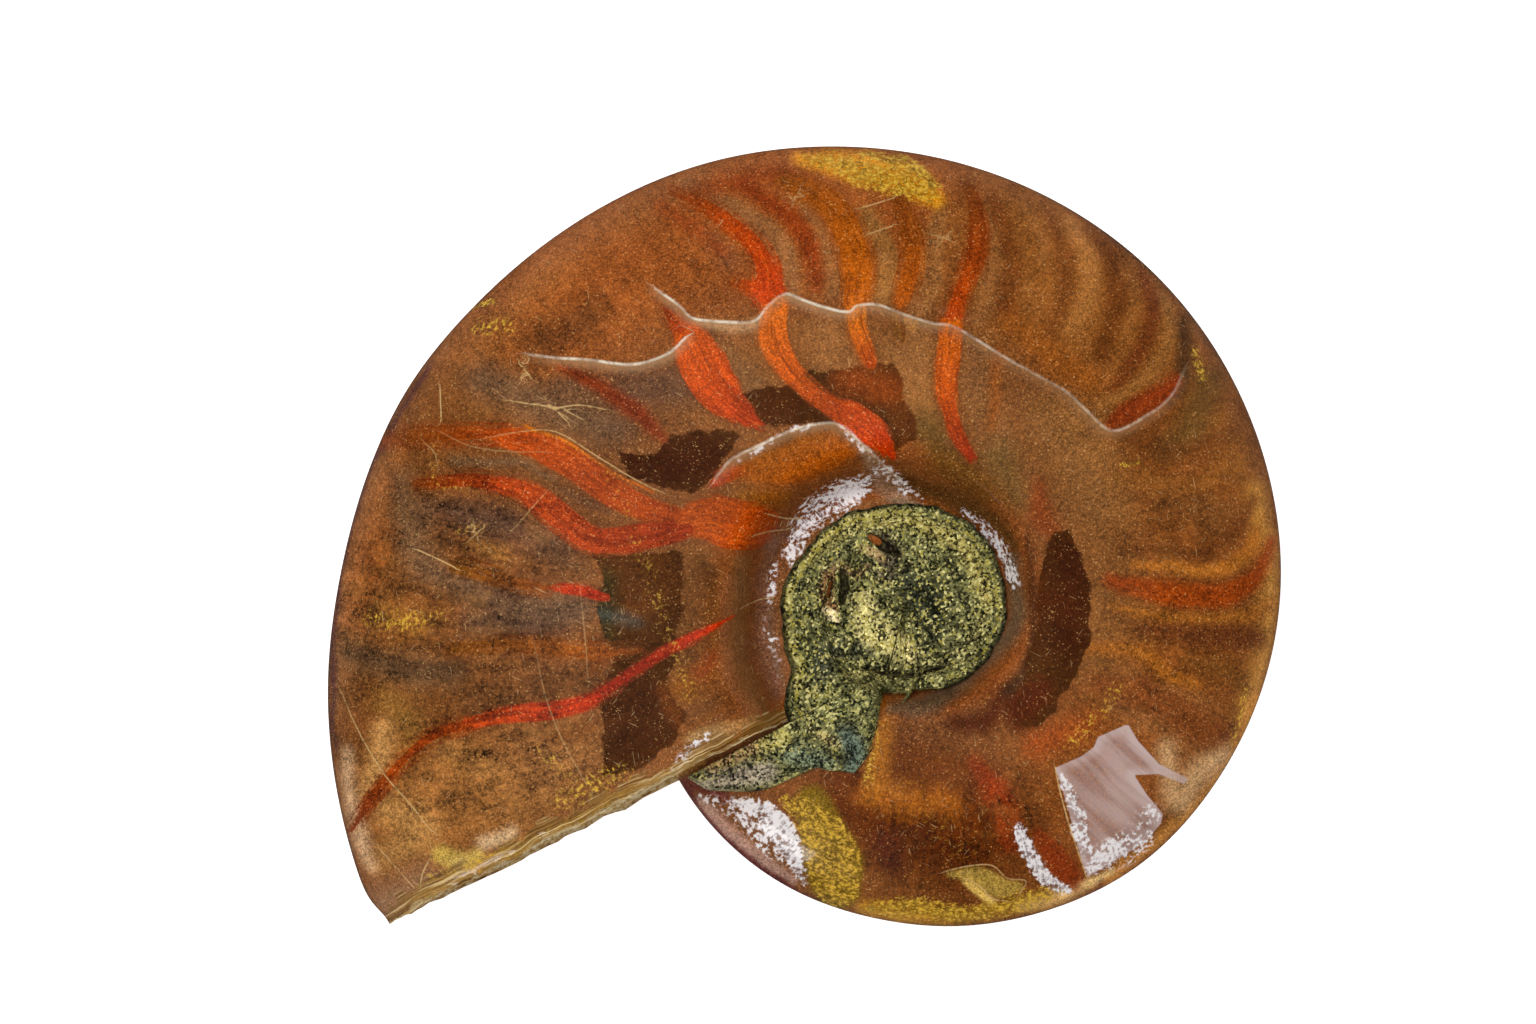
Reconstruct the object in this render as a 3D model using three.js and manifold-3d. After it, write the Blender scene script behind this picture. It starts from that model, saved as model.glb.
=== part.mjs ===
// A polished Cleoniceras ammonite, lying on its flank: the coiled shell, and the
// sandy matrix that still fills the umbilicus (the navel of the coil) on each side.
//
// Millimetres, +Z up. The coil is modelled first in its own frame, with its axis
// along Z and its plane of symmetry at Z = 0, and is then tilted on to the flat
// spots that its lower flank rests on.
import * as THREE from "three";
import { mergeVertices } from "three/addons/utils/BufferGeometryUtils.js";
import Module from "manifold-3d";

const wasm = await Module();
wasm.setup();

const degrees = THREE.MathUtils.degToRad;
const clamp = THREE.MathUtils.clamp;
const FULL_TURN = 2 * Math.PI;

// The coil, seen along its axis: a logarithmic spiral.
const LIP_RADIUS = 57.8; // from the axis to the venter (outer edge) at the lip
const GROWTH = 0.1267; // the radius grows by exp(GROWTH) in a radian
const LIP_ANGLE = degrees(211.5); // where the lip's outer corner is, from +X
const LIP_OFFSET = 4.75; // the straight lip's line passes the axis at this distance
const WHORL_RATIO = Math.exp(GROWTH * FULL_TURN); // a whorl against the one inside it

// The whorl's section, as shares of the ventral radius.
const HALF_BREADTH = 0.235;
const SEAM = 0.24; // the line where a whorl meets the one inside it
const SHOULDER = 0.335; // the top of the umbilical wall
const VENTER_POWER = 3; // higher keeps the flank flat for longer
const VENTER_ROUNDNESS = 0.6; // 0.5 is a round venter, 1 a knife edge

// Where the outline leaves the true spiral: [degrees before the lip, share, width].
const OUTLINE_WAVES = [
  [306, -0.007, 15],
  [258, 0.011, 16],
  [186, -0.0055, 22],
  [98, 0.004, 14],
  [56, 0.006, 9],
  [35, -0.004, 9],
  [0, -0.018, 2.5],
];

// A bevel worn on the inner flank, above the umbilicus.
const BEVEL_TURN = degrees(-82); // its middle, before the lip
const BEVEL_SPREAD = degrees(24);
const BEVEL_OUTER = 0.42; // its ridge, as a share of the ventral radius
const BEVEL_DEPTH = 0.036;

// A soft ridge where two polished facets of the flank meet.
const FACET_RIDGE = 0.66;
const FACET_WIDTH = 0.16;
const FACET_HEIGHT = 0.006;

// The broken lip: the shell wall stands proud of the fill inside it.
const LIP_WALL = 1.4;
const LIP_RECESS = 1.2;
const LIP_CHIP = 0.9; // the deepest bites in its edge

// The matrix in the umbilicus.
const CORE_RADIUS = 6.3; // inside this circle the whorls aren't followed
const CORE_DEPTH = 1; // height of the innermost hollow above the plane of symmetry
const MATRIX_CENTRE = 4.2; // its height in the middle, above the plane of symmetry
const MATRIX_RISE = 0.014; // and how that grows with the square of the distance out
const BOWL_RADIUS = 8; // as far as this circle
const MATRIX_THICKNESS = 0.5; // at its edge
const MATRIX_GAP = 0.8; // clearance to the shell, measured along the coil's axis
const MATRIX_STEP = 1; // the floor clears the shell this far to each side too
const LUMP_HEIGHT = 0.35;
const NODULES = [
  // [x, y, radius, rise]
  [-5.8, 2.8, 1.5, 0.9],
  [-1.3, 6.4, 1.4, 0.7],
  [2.4, 1.2, 2.2, -0.7],
  [5.6, -2.1, 1.8, 0.6],
];

// The matrix's outline, with a tail in the corner between the lip and the whorl
// inside it.
const MATRIX_OUTLINE = [
  // [degrees past the lip, distance from the axis]
  [0, 26],
  [5, 25],
  [13, 21.5],
  [18, 17.3],
  [30, 16.6],
  [32, 7.6],
  [62, 8.5],
  [88, 9.2],
  [124, 9.8],
  [182, 10.3],
  [229, 10.2],
  [278, 11],
  [340, 12.3],
  [360, 15.7],
];
const TAIL_GAP = degrees(2); // clearance to the lip
const TAIL_TURN = 40;
const TAIL_HEIGHT = 2.4;

// How the fossil lies: the coil's axis leans by TILT towards TILT_ANGLE, and the
// lowest REST_GRIND of its lower flank is ground flat.
const TILT = degrees(5.5);
const TILT_ANGLE = degrees(58);
const REST_GRIND = 0.5;

// Fineness of the faceted surface.
const ROWS = 80;
const INNER_COLUMNS = [SEAM, 0.262, 0.29, SHOULDER, 0.42];
const OUTER_COLUMNS = [
  ...INNER_COLUMNS,
  SEAM * WHORL_RATIO,
  0.6,
  0.66,
  0.73,
  0.8,
  0.86,
  0.91,
  0.95,
  0.975,
  0.992,
  1,
];
const TAIL_ROWS = 12; // rows that the matrix's tail takes; behind it, every second one
const MATRIX_RINGS = [1.8, 3.6, 5.4, 7.2, 9, 10.8, 12.6, 14.4, 16.6, 19.6, 22.8, 26];

// Distance from the axis to the venter, turn radians on from the lip (negative is
// further back in the shell).
function ventralRadius(turn) {
  let share = 1;
  for (const [before, height, width] of OUTLINE_WAVES) {
    const steps = (turn + degrees(before)) / degrees(width);
    share += height * Math.exp(-steps * steps);
  }
  return LIP_RADIUS * Math.exp(GROWTH * turn) * share;
}

const smooth = (t) => {
  const c = clamp(t, 0, 1);
  return c * c * (3 - 2 * c);
};

// Half the whorl's breadth at the share s of its ventral radius, itself as a share.
function halfBreadth(s, turn) {
  const body = (x) => Math.pow(Math.max(1 - x ** VENTER_POWER, 0), VENTER_ROUNDNESS);
  // The foot of the wall stands on the flank of the whorl inside.
  const foot = body(SEAM * WHORL_RATIO) / WHORL_RATIO / body(SEAM);
  const wall = foot + (1 - foot) * smooth((s - SEAM) / (SHOULDER - SEAM));
  const ridge = FACET_HEIGHT * Math.max(0, 1 - Math.abs(s - FACET_RIDGE) / FACET_WIDTH);
  const near = Math.exp(-(((turn - BEVEL_TURN) / BEVEL_SPREAD) ** 2));
  const inward = clamp((BEVEL_OUTER - s) / (BEVEL_OUTER - SEAM), 0, 1);
  const bevel = BEVEL_DEPTH * near * inward * wall;
  return HALF_BREADTH * body(s) * wall + ridge - bevel;
}

// Height of the shell's surface above the plane of symmetry, at the distance r from
// the axis. Inside the seam it is the flank of the whorl before.
function surfaceHeight(r, turn) {
  let t = turn;
  while (r < SEAM * ventralRadius(t) * 0.99999) t -= FULL_TURN;
  const ventral = ventralRadius(t);
  return ventral * halfBreadth(clamp(r / ventral, 0, 1), t);
}

// The rows of the mesh are straight lines that pass the axis at LIP_OFFSET, as the
// lip does. rowTurn is where such a line would be if it passed through the axis.
const lean = (r) => Math.asin(LIP_OFFSET / Math.max(r, CORE_RADIUS));
const LAST_ROW = -lean(ventralRadius(0));
const rowTurn = (row) => LAST_ROW - FULL_TURN * (1 - row / ROWS);

// The lip's line: its direction, and the way that the shell grew across it.
const LIP_LINE = LIP_ANGLE + LAST_ROW;
const LIP_ALONG = new THREE.Vector3(Math.cos(LIP_LINE), Math.sin(LIP_LINE), 0);
const LIP_FORWARD = new THREE.Vector3(-LIP_ALONG.y, LIP_ALONG.x, 0);

// The distance from the axis at which a row is at the share s of the whorl that is
// back whorls inside the outer one.
function columnRadius(s, row, back) {
  let r = s * LIP_RADIUS;
  for (let i = 0; i < 40; i++) {
    r = s * ventralRadius(rowTurn(row) + lean(r) - back * FULL_TURN);
  }
  return Math.max(r, CORE_RADIUS);
}

// The coil's surface where a row is at the distance r from the axis.
function coilPoint(r, row, side) {
  const turn = rowTurn(row) + lean(r);
  const angle = LIP_ANGLE + turn;
  const height = surfaceHeight(r, turn);
  return new THREE.Vector3(r * Math.cos(angle), r * Math.sin(angle), side * height);
}

// One side's points along a row, from the core to the venter.
function rowPoints(row, side) {
  const radii = [
    CORE_RADIUS,
    ...INNER_COLUMNS.map((s) => columnRadius(s, row, 1)),
    ...OUTER_COLUMNS.map((s) => columnRadius(s, row, 0)),
  ];
  return radii.map((r) => {
    const point = coilPoint(r, row, side);
    if (r === radii.at(-1)) point.z = 0;
    return point;
  });
}
const SEAM_COLUMN = 1 + INNER_COLUMNS.length;
const COVERED_COLUMN = SEAM_COLUMN + INNER_COLUMNS.length; // where the seam ends a turn later

// A closed solid from triangles of Vector3, with equal corners merged.
function solidFrom(triangles) {
  const positions = triangles.flat().flatMap((p) => [p.x, p.y, p.z]);
  const loose = new THREE.BufferGeometry();
  loose.setAttribute("position", new THREE.Float32BufferAttribute(positions, 3));
  const merged = mergeVertices(loose, 1e-4);
  const kept = [];
  const index = merged.index.array;
  for (let i = 0; i < index.length; i += 3) {
    const [a, b, c] = [index[i], index[i + 1], index[i + 2]];
    if (a !== b && b !== c && c !== a) kept.push(a, b, c);
  }
  const mesh = new wasm.Mesh({
    numProp: 3,
    vertProperties: merged.attributes.position.array,
    triVerts: new Uint32Array(kept),
  });
  return new wasm.Manifold(mesh);
}

// Triangles between two rows of points, or with their faces turned round.
function skin(rowA, rowB, flip = false) {
  const triangles = [];
  for (let j = 0; j + 1 < rowA.length; j++) {
    const [a, b, c, d] = [rowA[j], rowA[j + 1], rowB[j + 1], rowB[j]];
    triangles.push(flip ? [a, b, c] : [a, c, b], flip ? [a, c, d] : [a, d, c]);
  }
  return triangles;
}

const inLipPlane = (p) => new THREE.Vector2(p.dot(LIP_ALONG), p.z);

// Triangles that fill an outline standing in the lip's plane, facing forward.
function fillOutline(outline) {
  const triangles = [];
  for (const corners of THREE.ShapeUtils.triangulateShape(outline.map(inLipPlane), [])) {
    const [a, b, c] = corners.map((i) => outline[i]);
    const normal = b.clone().sub(a).cross(c.clone().sub(a));
    triangles.push(normal.dot(LIP_FORWARD) > 0 ? [a, b, c] : [a, c, b]);
  }
  return triangles;
}

// How far the broken edge is chipped back at the distance r from the axis.
function chipDepth(r, side) {
  const small = Math.abs(Math.sin(r * 1.9 + side));
  const large = Math.abs(Math.sin(r * 0.37 + 1.5 * side));
  return LIP_CHIP * (0.4 * small + 0.6 * large * large);
}

// The coiled shell, in the coil's frame, and the outline of its lip.
function coilSolid() {
  const triangles = [];
  const lip = {};
  for (const side of [1, -1]) {
    const first = rowPoints(0, side);
    const last = rowPoints(ROWS, side);
    // A turn later, the inner columns and the seam lie on the first row's whorl.
    last.splice(1, SEAM_COLUMN, ...first.slice(SEAM_COLUMN, COVERED_COLUMN + 1));
    for (const point of last.slice(SEAM_COLUMN + 1)) {
      point.addScaledVector(LIP_FORWARD, -chipDepth(point.length(), point.z ? side : 0));
    }
    lip[side] = last.slice(SEAM_COLUMN);
    lip[-2 * side] = first.slice(COVERED_COLUMN + 1);
    const core = new THREE.Vector3(0, 0, side * CORE_DEPTH);
    let here = first;
    for (let row = 1; row <= ROWS; row++) {
      const next = row < ROWS ? rowPoints(row, side) : last;
      triangles.push(...skin(here, next, side > 0));
      triangles.push(side > 0 ? [core, here[0], next[0]] : [core, next[0], here[0]]);
      here = next;
    }
  }
  const outline = [
    ...lip[1],
    ...lip[-1].slice(0, -1).reverse(),
    ...lip[2],
    ...lip[-2].slice(0, -1).reverse(),
  ];
  triangles.push(...fillOutline(outline));
  return [solidFrom(triangles), outline];
}

// The hollow inside the shell's wall at the broken lip.
function lipRecess(outline) {
  const corners = outline.map((p) => inLipPlane(p).toArray()).reverse();
  const inside = new wasm.CrossSection([corners]).offset(-LIP_WALL, "Round", 2, 12);
  const depth = LIP_RECESS + LIP_CHIP;
  const front = 2; // how far the cutter stands out in front of the lip
  const cutter = inside.simplify(0.1).extrude(depth + front).translate([0, 0, -front]);
  const placed = new THREE.Matrix4();
  placed.makeBasis(LIP_ALONG, new THREE.Vector3(0, 0, 1), LIP_FORWARD.clone().negate());
  placed.setPosition(LIP_FORWARD.clone().multiplyScalar(LIP_OFFSET));
  return cutter.transform(placed.elements);
}

// Height of the shell's faceted surface, whose core is a shallow funnel.
function shellHeight(r, row) {
  if (r >= CORE_RADIUS) return surfaceHeight(r, rowTurn(row) + lean(r));
  const rim = surfaceHeight(CORE_RADIUS, rowTurn(row) + lean(CORE_RADIUS));
  return CORE_DEPTH + ((rim - CORE_DEPTH) * r) / CORE_RADIUS;
}

// How far from the axis the matrix reaches along a row.
function matrixEdge(row) {
  const past = (360 * row) / ROWS;
  const next = Math.max(1, MATRIX_OUTLINE.findIndex(([spot]) => spot >= past));
  const [start, startReach] = MATRIX_OUTLINE[next - 1];
  const [end, endReach] = MATRIX_OUTLINE[next];
  return THREE.MathUtils.lerp(startReach, endReach, (past - start) / (end - start));
}

// Unevenness of the matrix's surface at a place in the plane of the coil.
function lumpHeight(x, y, side) {
  const rough = Math.sin(1.5 * x + 0.8 * y + side) * Math.sin(1.2 * y - 0.7 * x);
  let height = LUMP_HEIGHT * rough;
  for (const [cx, cy, radius, rise] of NODULES) {
    const steps = Math.hypot(x - cx, y - side * cy) / radius;
    height += rise * Math.exp(-steps * steps);
  }
  return height;
}

// Top and bottom points of the matrix along a row, from the first ring outwards.
function matrixRow(row, side) {
  const edge = matrixEdge(row);
  const tail = TAIL_HEIGHT * clamp(1 - (360 * row) / ROWS / TAIL_TURN, 0, 1);
  const tops = [];
  const bottoms = [];
  for (const ring of MATRIX_RINGS) {
    const r = Math.min(ring, edge);
    const angle = LIP_ANGLE + rowTurn(row) + lean(r);
    const [x, y] = [r * Math.cos(angle), r * Math.sin(angle)];
    const step = r < edge ? MATRIX_STEP : 0;
    const floor = Math.max(...[-step, 0, step].map((d) => shellHeight(Math.abs(r + d), row)));
    const bottom = floor + MATRIX_GAP;
    const dish = MATRIX_CENTRE + MATRIX_RISE * Math.min(r, BOWL_RADIUS) ** 2;
    const lumps = lumpHeight(x, y, side) * (1 - clamp(r / BOWL_RADIUS, 0, 1) ** 4);
    const pile = tail * (1 - (r / edge) ** 3);
    const top = Math.max(dish + lumps, bottom + MATRIX_THICKNESS + pile);
    tops.push(new THREE.Vector3(x, y, side * top));
    bottoms.push(new THREE.Vector3(x, y, side * bottom));
  }
  return [tops, bottoms];
}

// The matrix that fills one umbilicus, in the coil's frame.
function matrixSolid(side) {
  const rows = [(TAIL_GAP / FULL_TURN) * ROWS];
  for (let row = 1; row <= ROWS; row += row < TAIL_ROWS ? 1 : 2) rows.push(row);
  const points = rows.map((row) => matrixRow(row, side));
  const topCore = new THREE.Vector3(0, 0, side * MATRIX_CENTRE);
  const bottomCore = new THREE.Vector3(0, 0, side * (CORE_DEPTH + MATRIX_GAP));
  const triangles = [];
  points.forEach(([tops, bottoms], i) => {
    const [nextTops, nextBottoms] = points[(i + 1) % points.length];
    const [a, b] = side > 0 ? [0, 1] : [1, 0];
    const topPair = [tops, nextTops];
    const bottomPair = [bottoms, nextBottoms];
    triangles.push(...skin(tops, nextTops, side > 0));
    triangles.push(...skin(bottoms, nextBottoms, side < 0));
    triangles.push([topCore, topPair[a][0], topPair[b][0]]);
    triangles.push([bottomCore, bottomPair[b][0], bottomPair[a][0]]);
    const edge = [tops.at(-1), bottoms.at(-1)];
    const nextEdge = [nextTops.at(-1), nextBottoms.at(-1)];
    triangles.push(...skin(edge, nextEdge, side > 0));
  });
  return solidFrom(triangles);
}

// Lays a solid of the coil's frame down, with the lean that the fossil rests with.
function laidDown(solid) {
  const axis = new THREE.Vector3(-Math.sin(TILT_ANGLE), Math.cos(TILT_ANGLE), 0);
  return solid.transform(new THREE.Matrix4().makeRotationAxis(axis, TILT).elements);
}

function meshFrom(solid, name, material) {
  const { vertProperties, triVerts } = solid.getMesh();
  const geometry = new THREE.BufferGeometry();
  geometry.setAttribute("position", new THREE.BufferAttribute(vertProperties, 3));
  geometry.setIndex(new THREE.BufferAttribute(triVerts, 1));
  geometry.computeVertexNormals();
  const mesh = new THREE.Mesh(geometry, material);
  mesh.name = name;
  return mesh;
}

const [coil, lipOutline] = coilSolid();
const lying = laidDown(coil.subtract(lipRecess(lipOutline)));
const ground = lying.boundingBox().min[2] + REST_GRIND;
const shell = lying.trimByPlane([0, 0, 1], ground);

const polishedShell = new THREE.MeshStandardMaterial({
  color: 0x8f5a2c,
  roughness: 0.25,
  metalness: 0,
});
const sandyMatrix = new THREE.MeshStandardMaterial({
  color: 0xa8975f,
  roughness: 0.9,
  metalness: 0,
});

const group = new THREE.Group();
group.add(meshFrom(shell, "shell", polishedShell));
group.add(meshFrom(laidDown(matrixSolid(1)), "umbilicus_matrix_top", sandyMatrix));
group.add(meshFrom(laidDown(matrixSolid(-1)), "umbilicus_matrix_bottom", sandyMatrix));

// The origin is on the ground, under the middle of the shell's box.
const box = shell.boundingBox();
const origin = [(box.min[0] + box.max[0]) / 2, (box.min[1] + box.max[1]) / 2, ground];
group.children.forEach((mesh) => mesh.geometry.translate(...origin.map((v) => -v)));

export default group;
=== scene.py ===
# A polished Cleoniceras ammonite, lying on its flank and seen from above.
#
# Metres, +Z up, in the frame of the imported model. The coil is worked out in its own
# frame, with its axis along Z, and is then tilted on to the spots that it rests on.
# The colours are painted on with named brush strokes. Their points are pixels of the
# 1536 x 1024 photo, and the far side wears the same strokes as a mirror image.
import math

import bmesh
import bpy
import numpy as np
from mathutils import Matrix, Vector


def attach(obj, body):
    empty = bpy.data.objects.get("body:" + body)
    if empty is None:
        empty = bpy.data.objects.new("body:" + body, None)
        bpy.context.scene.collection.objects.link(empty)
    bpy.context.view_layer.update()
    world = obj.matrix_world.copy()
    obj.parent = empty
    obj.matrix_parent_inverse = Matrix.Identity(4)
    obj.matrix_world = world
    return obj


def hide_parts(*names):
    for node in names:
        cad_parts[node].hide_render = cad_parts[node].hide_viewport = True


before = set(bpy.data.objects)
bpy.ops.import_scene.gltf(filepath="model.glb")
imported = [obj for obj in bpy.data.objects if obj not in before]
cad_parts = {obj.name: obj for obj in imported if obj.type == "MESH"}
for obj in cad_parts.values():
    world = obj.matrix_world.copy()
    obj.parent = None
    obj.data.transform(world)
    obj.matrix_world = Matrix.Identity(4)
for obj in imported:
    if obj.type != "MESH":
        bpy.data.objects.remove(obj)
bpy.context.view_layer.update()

MM = 0.001
TURN = 2 * math.pi

# The coil, seen along its axis: a logarithmic spiral.
LIP_RADIUS = 57.8 * MM
GROWTH = 0.1267
LIP_ANGLE = math.radians(211.5)
LIP_OFFSET = 4.75 * MM
WHORL_RATIO = math.exp(GROWTH * TURN)

# The whorl's section, as shares of the ventral radius.
HALF_BREADTH = 0.235
SEAM = 0.24
SHOULDER = 0.335
VENTER_POWER = 3
VENTER_ROUNDNESS = 0.6

# Where the outline leaves the true spiral: degrees before the lip, share, width.
OUTLINE_WAVES = (
    (306, -0.007, 15),
    (258, 0.011, 16),
    (186, -0.0055, 22),
    (98, 0.004, 14),
    (56, 0.006, 9),
    (35, -0.004, 9),
    (0, -0.018, 2.5),
)

# The bevel above the umbilicus, and the soft ridge between two facets of the flank.
BEVEL_TURN = math.radians(-82)
BEVEL_SPREAD = math.radians(24)
BEVEL_OUTER = 0.42
BEVEL_DEPTH = 0.036
FACET_RIDGE = 0.66
FACET_WIDTH = 0.16
FACET_HEIGHT = 0.006

# The broken lip.
LIP_WALL = 1.3 * MM
LIP_RECESS = 1.2 * MM
LIP_CHIP = 0.5 * MM
LIP_BEVEL = 1.1 * MM
CHIP_REACH = 3 * MM
LARGE_CHIP = 3.1 * MM
SMALL_CHIP = 0.8 * MM

# The matrix in the umbilicus. Its outline: degrees past the lip, millimetres out.
CORE_RADIUS = 6.3 * MM
CORE_DEPTH = 1 * MM
MATRIX_CENTRE = 4.2 * MM
MATRIX_RISE = 14
BOWL_RADIUS = 8 * MM
MATRIX_OUTLINE = (
    (0, 26), (5, 25), (13, 21.5), (18, 17.3), (30, 16.6), (32, 7.6), (62, 8.5), (88, 9.2),
    (124, 9.8), (182, 10.3), (229, 10.2), (278, 11), (340, 12.3), (360, 15.7),
)
TAIL_TURN = 40
TAIL_HEIGHT = 2.4 * MM
EDGE_ROUGHNESS = 0.025
LUMP_SIZE = 3 * MM
LUMP_HEIGHT = 0.5 * MM
GRAIN_SIZE = 0.55 * MM
GRAIN_HEIGHT = 0.13 * MM
GROOVE_PLACE = 0.86
GROOVE_WIDTH = 0.05
GROOVE_DEPTH = 0.3 * MM
HOLE_DEPTH = 0.9 * MM
LAP_HEIGHT = 0.4 * MM
TUCK_DEPTH = 0.3 * MM
# The bare corner beside the neck: from which radius out, and up to how many degrees.
BARE_RADIUS = 7.9 * MM
BARE_TURN = 33
# Places in millimetres: lumps (x, y, radius, rise), and the right side of the neck.
NODULES = (
    (-5.8, 2.8, 1.5, 0.9),
    (-1.3, 6.4, 1.4, 0.7),
    (2.4, 1.2, 2.2, -0.7),
    (5.6, -2.1, 1.8, 0.6),
)
NECK_EDGE = ((-2.29, -7.8), (-2.86, -11.3), (-4.09, -15.1), (-4.66, -16))

# How the fossil lies, and where its coil stands over the middle of its box.
TILT = math.radians(5.5)
TILT_ANGLE = math.radians(58)
REST_GRIND = 0.5 * MM

# The photo: its scale at the height of the outer edge, the pixel over the middle of
# the part's box, and the pixel of the coil's axis.
PIXEL = 0.095 * MM
PHOTO_MIDDLE = np.array([768, 512])
BOX_PIXEL = np.array([806, 535])
EDGE_HEIGHT = 11.5 * MM
LENS = 200
SENSOR = 36

# Fineness of the meshes. The last rows before the lip are much closer together.
ROWS = 715
FINE_PART = 6 / ROWS
FINE_ROWS = 21
LIP_ROWS = 50
LIP_FACE_STEPS = 14
FAR_FROM_LIP = 20
WALL_SHARES = 33
FLANK_SHARES = 62
UNDER_ROW_STEP = 3
UNDER_SHARE_STEP = 2
MATRIX_ROWS = 300
MATRIX_RINGS = 110
UNDER_MATRIX_ROWS = 180
UNDER_MATRIX_RINGS = 70


# Small helpers.
def smooth(t):
    t = np.clip(t, 0, 1)
    return t * t * (3 - 2 * t)


def colour(code):
    """Linear RGB of a six-digit sRGB code."""
    srgb = np.array([int(code[i : i + 2], 16) for i in (0, 2, 4)]) / 255
    return np.where(srgb <= 0.04045, srgb / 12.92, ((srgb + 0.055) / 1.055) ** 2.4)


def value_noise(x, y, seed):
    """Smooth noise from -1 to 1, one bump to a unit."""
    xi = np.floor(x)
    yi = np.floor(y)
    fx = smooth(x - xi)
    fy = smooth(y - yi)

    def corner(cx, cy):
        wild = np.sin(cx * 127.1 + cy * 311.7 + seed * 74.7) * 43758.5453
        return 2 * (wild - np.floor(wild)) - 1

    low = corner(xi, yi) * (1 - fx) + corner(xi + 1, yi) * fx
    high = corner(xi, yi + 1) * (1 - fx) + corner(xi + 1, yi + 1) * fx
    return low * (1 - fy) + high * fy


def rough_noise(x, y, seed, layers=3):
    total = np.zeros_like(x)
    for layer in range(layers):
        step = 2**layer
        total = total + value_noise(x * step, y * step, seed + 17 * layer) / step
    return total / 1.6


# The coil's form, as in the solids.
def ventral_radius(turn):
    share = np.ones_like(turn)
    for before, height, width in OUTLINE_WAVES:
        steps = (turn + math.radians(before)) / math.radians(width)
        share = share + height * np.exp(-steps * steps)
    return LIP_RADIUS * np.exp(GROWTH * turn) * share


def section(s):
    return np.maximum(1 - s**VENTER_POWER, 0) ** VENTER_ROUNDNESS


def half_breadth(s, turn):
    foot = section(SEAM * WHORL_RATIO) / WHORL_RATIO / section(SEAM)
    wall = foot + (1 - foot) * smooth((s - SEAM) / (SHOULDER - SEAM))
    ridge = FACET_HEIGHT * np.maximum(0, 1 - np.abs(s - FACET_RIDGE) / FACET_WIDTH)
    near = np.exp(-(((turn - BEVEL_TURN) / BEVEL_SPREAD) ** 2))
    inward = np.clip((BEVEL_OUTER - s) / (BEVEL_OUTER - SEAM), 0, 1)
    bevel = BEVEL_DEPTH * near * inward * wall
    return HALF_BREADTH * section(s) * wall + ridge - bevel


def surface(r, turn):
    """Height above the plane of symmetry, and the share of its own whorl."""
    r, turn = np.broadcast_arrays(r, turn)
    turn = turn.copy()
    for _ in range(4):
        inside = r < SEAM * ventral_radius(turn) * 0.99999
        turn[inside] -= TURN
    ventral = ventral_radius(turn)
    share = np.clip(r / ventral, 0, 1)
    return ventral * half_breadth(share, turn), share


def lean(r):
    return np.arcsin(LIP_OFFSET / np.maximum(r, CORE_RADIUS))


LAST_TURN = -float(lean(ventral_radius(np.array(0.0))))
LIP_LINE = LIP_ANGLE + LAST_TURN
LIP_ALONG = np.array([math.cos(LIP_LINE), math.sin(LIP_LINE)])
LIP_FORWARD = np.array([-LIP_ALONG[1], LIP_ALONG[0]])


def column_radius(share, row_turn, back):
    r = np.broadcast_to(share * LIP_RADIUS, np.broadcast(share, row_turn).shape)
    for _ in range(40):
        r = share * ventral_radius(row_turn + lean(r) - back * TURN)
    return np.maximum(r, CORE_RADIUS)


def tilted(points):
    """Points of the coil's frame, laid down as the fossil rests."""
    axis = np.array([-math.sin(TILT_ANGLE), math.cos(TILT_ANGLE), 0])
    cos = math.cos(TILT)
    sin = math.sin(TILT)
    along = np.outer(points @ axis, axis) * (1 - cos)
    return points * cos + np.cross(axis, points) * sin + along


def coil_origin():
    """Where the ground under the middle of the box is, seen from the tilted coil."""
    row_turn = LAST_TURN - TURN * np.linspace(0, 1, 400)[:, None]
    share = np.linspace(SEAM, 1, 90)[None, :]
    r = column_radius(share, row_turn, 0)
    turn = row_turn + lean(r)
    height, _ = surface(r, turn)
    angle = LIP_ANGLE + turn
    sheet = np.stack([r * np.cos(angle), r * np.sin(angle), height], -1).reshape(-1, 3)
    both = tilted(np.vstack([sheet, sheet * (1, 1, -1)]))
    low = both.min(0)
    high = both.max(0)
    return np.array([(low[0] + high[0]) / 2, (low[1] + high[1]) / 2, low[2] + REST_GRIND])


ORIGIN = coil_origin()


def placed(points):
    """Points of the coil's frame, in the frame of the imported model."""
    world = tilted(points) - ORIGIN
    world[:, 2] = np.maximum(world[:, 2], 0)
    return world


# The camera, and the photo's pixels.
CAMERA_DISTANCE = LENS / SENSOR * 1536 * PIXEL
CAMERA_PLACE = np.array(
    [
        (PHOTO_MIDDLE[0] - BOX_PIXEL[0]) * PIXEL,
        (BOX_PIXEL[1] - PHOTO_MIDDLE[1]) * PIXEL,
        EDGE_HEIGHT + CAMERA_DISTANCE,
    ]
)


def photo_pixels(world):
    """The photo's pixel over each point of the model."""
    scale = CAMERA_DISTANCE / (CAMERA_PLACE[2] - world[:, 2]) / PIXEL
    x = PHOTO_MIDDLE[0] + (world[:, 0] - CAMERA_PLACE[0]) * scale
    y = PHOTO_MIDDLE[1] - (world[:, 1] - CAMERA_PLACE[1]) * scale
    return np.stack([x, y], -1)


# Brush strokes.
def curve_through(points, steps=5):
    """Points (x, y, width) joined by a smooth curve."""
    p = np.array(points, float)
    if len(p) < 3:
        return p
    p = np.vstack([2 * p[0] - p[1], p, 2 * p[-1] - p[-2]])
    out = []
    for a, b, c, d in zip(p[:-3], p[1:-2], p[2:-1], p[3:]):
        for t in np.arange(steps) / steps:
            bend = (2 * a - 5 * b + 4 * c - d) * t * t + (3 * b - a - 3 * c + d) * t**3
            out.append(0.5 * (2 * b + (c - a) * t + bend))
    out.append(p[-2])
    return np.array(out)


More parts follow.
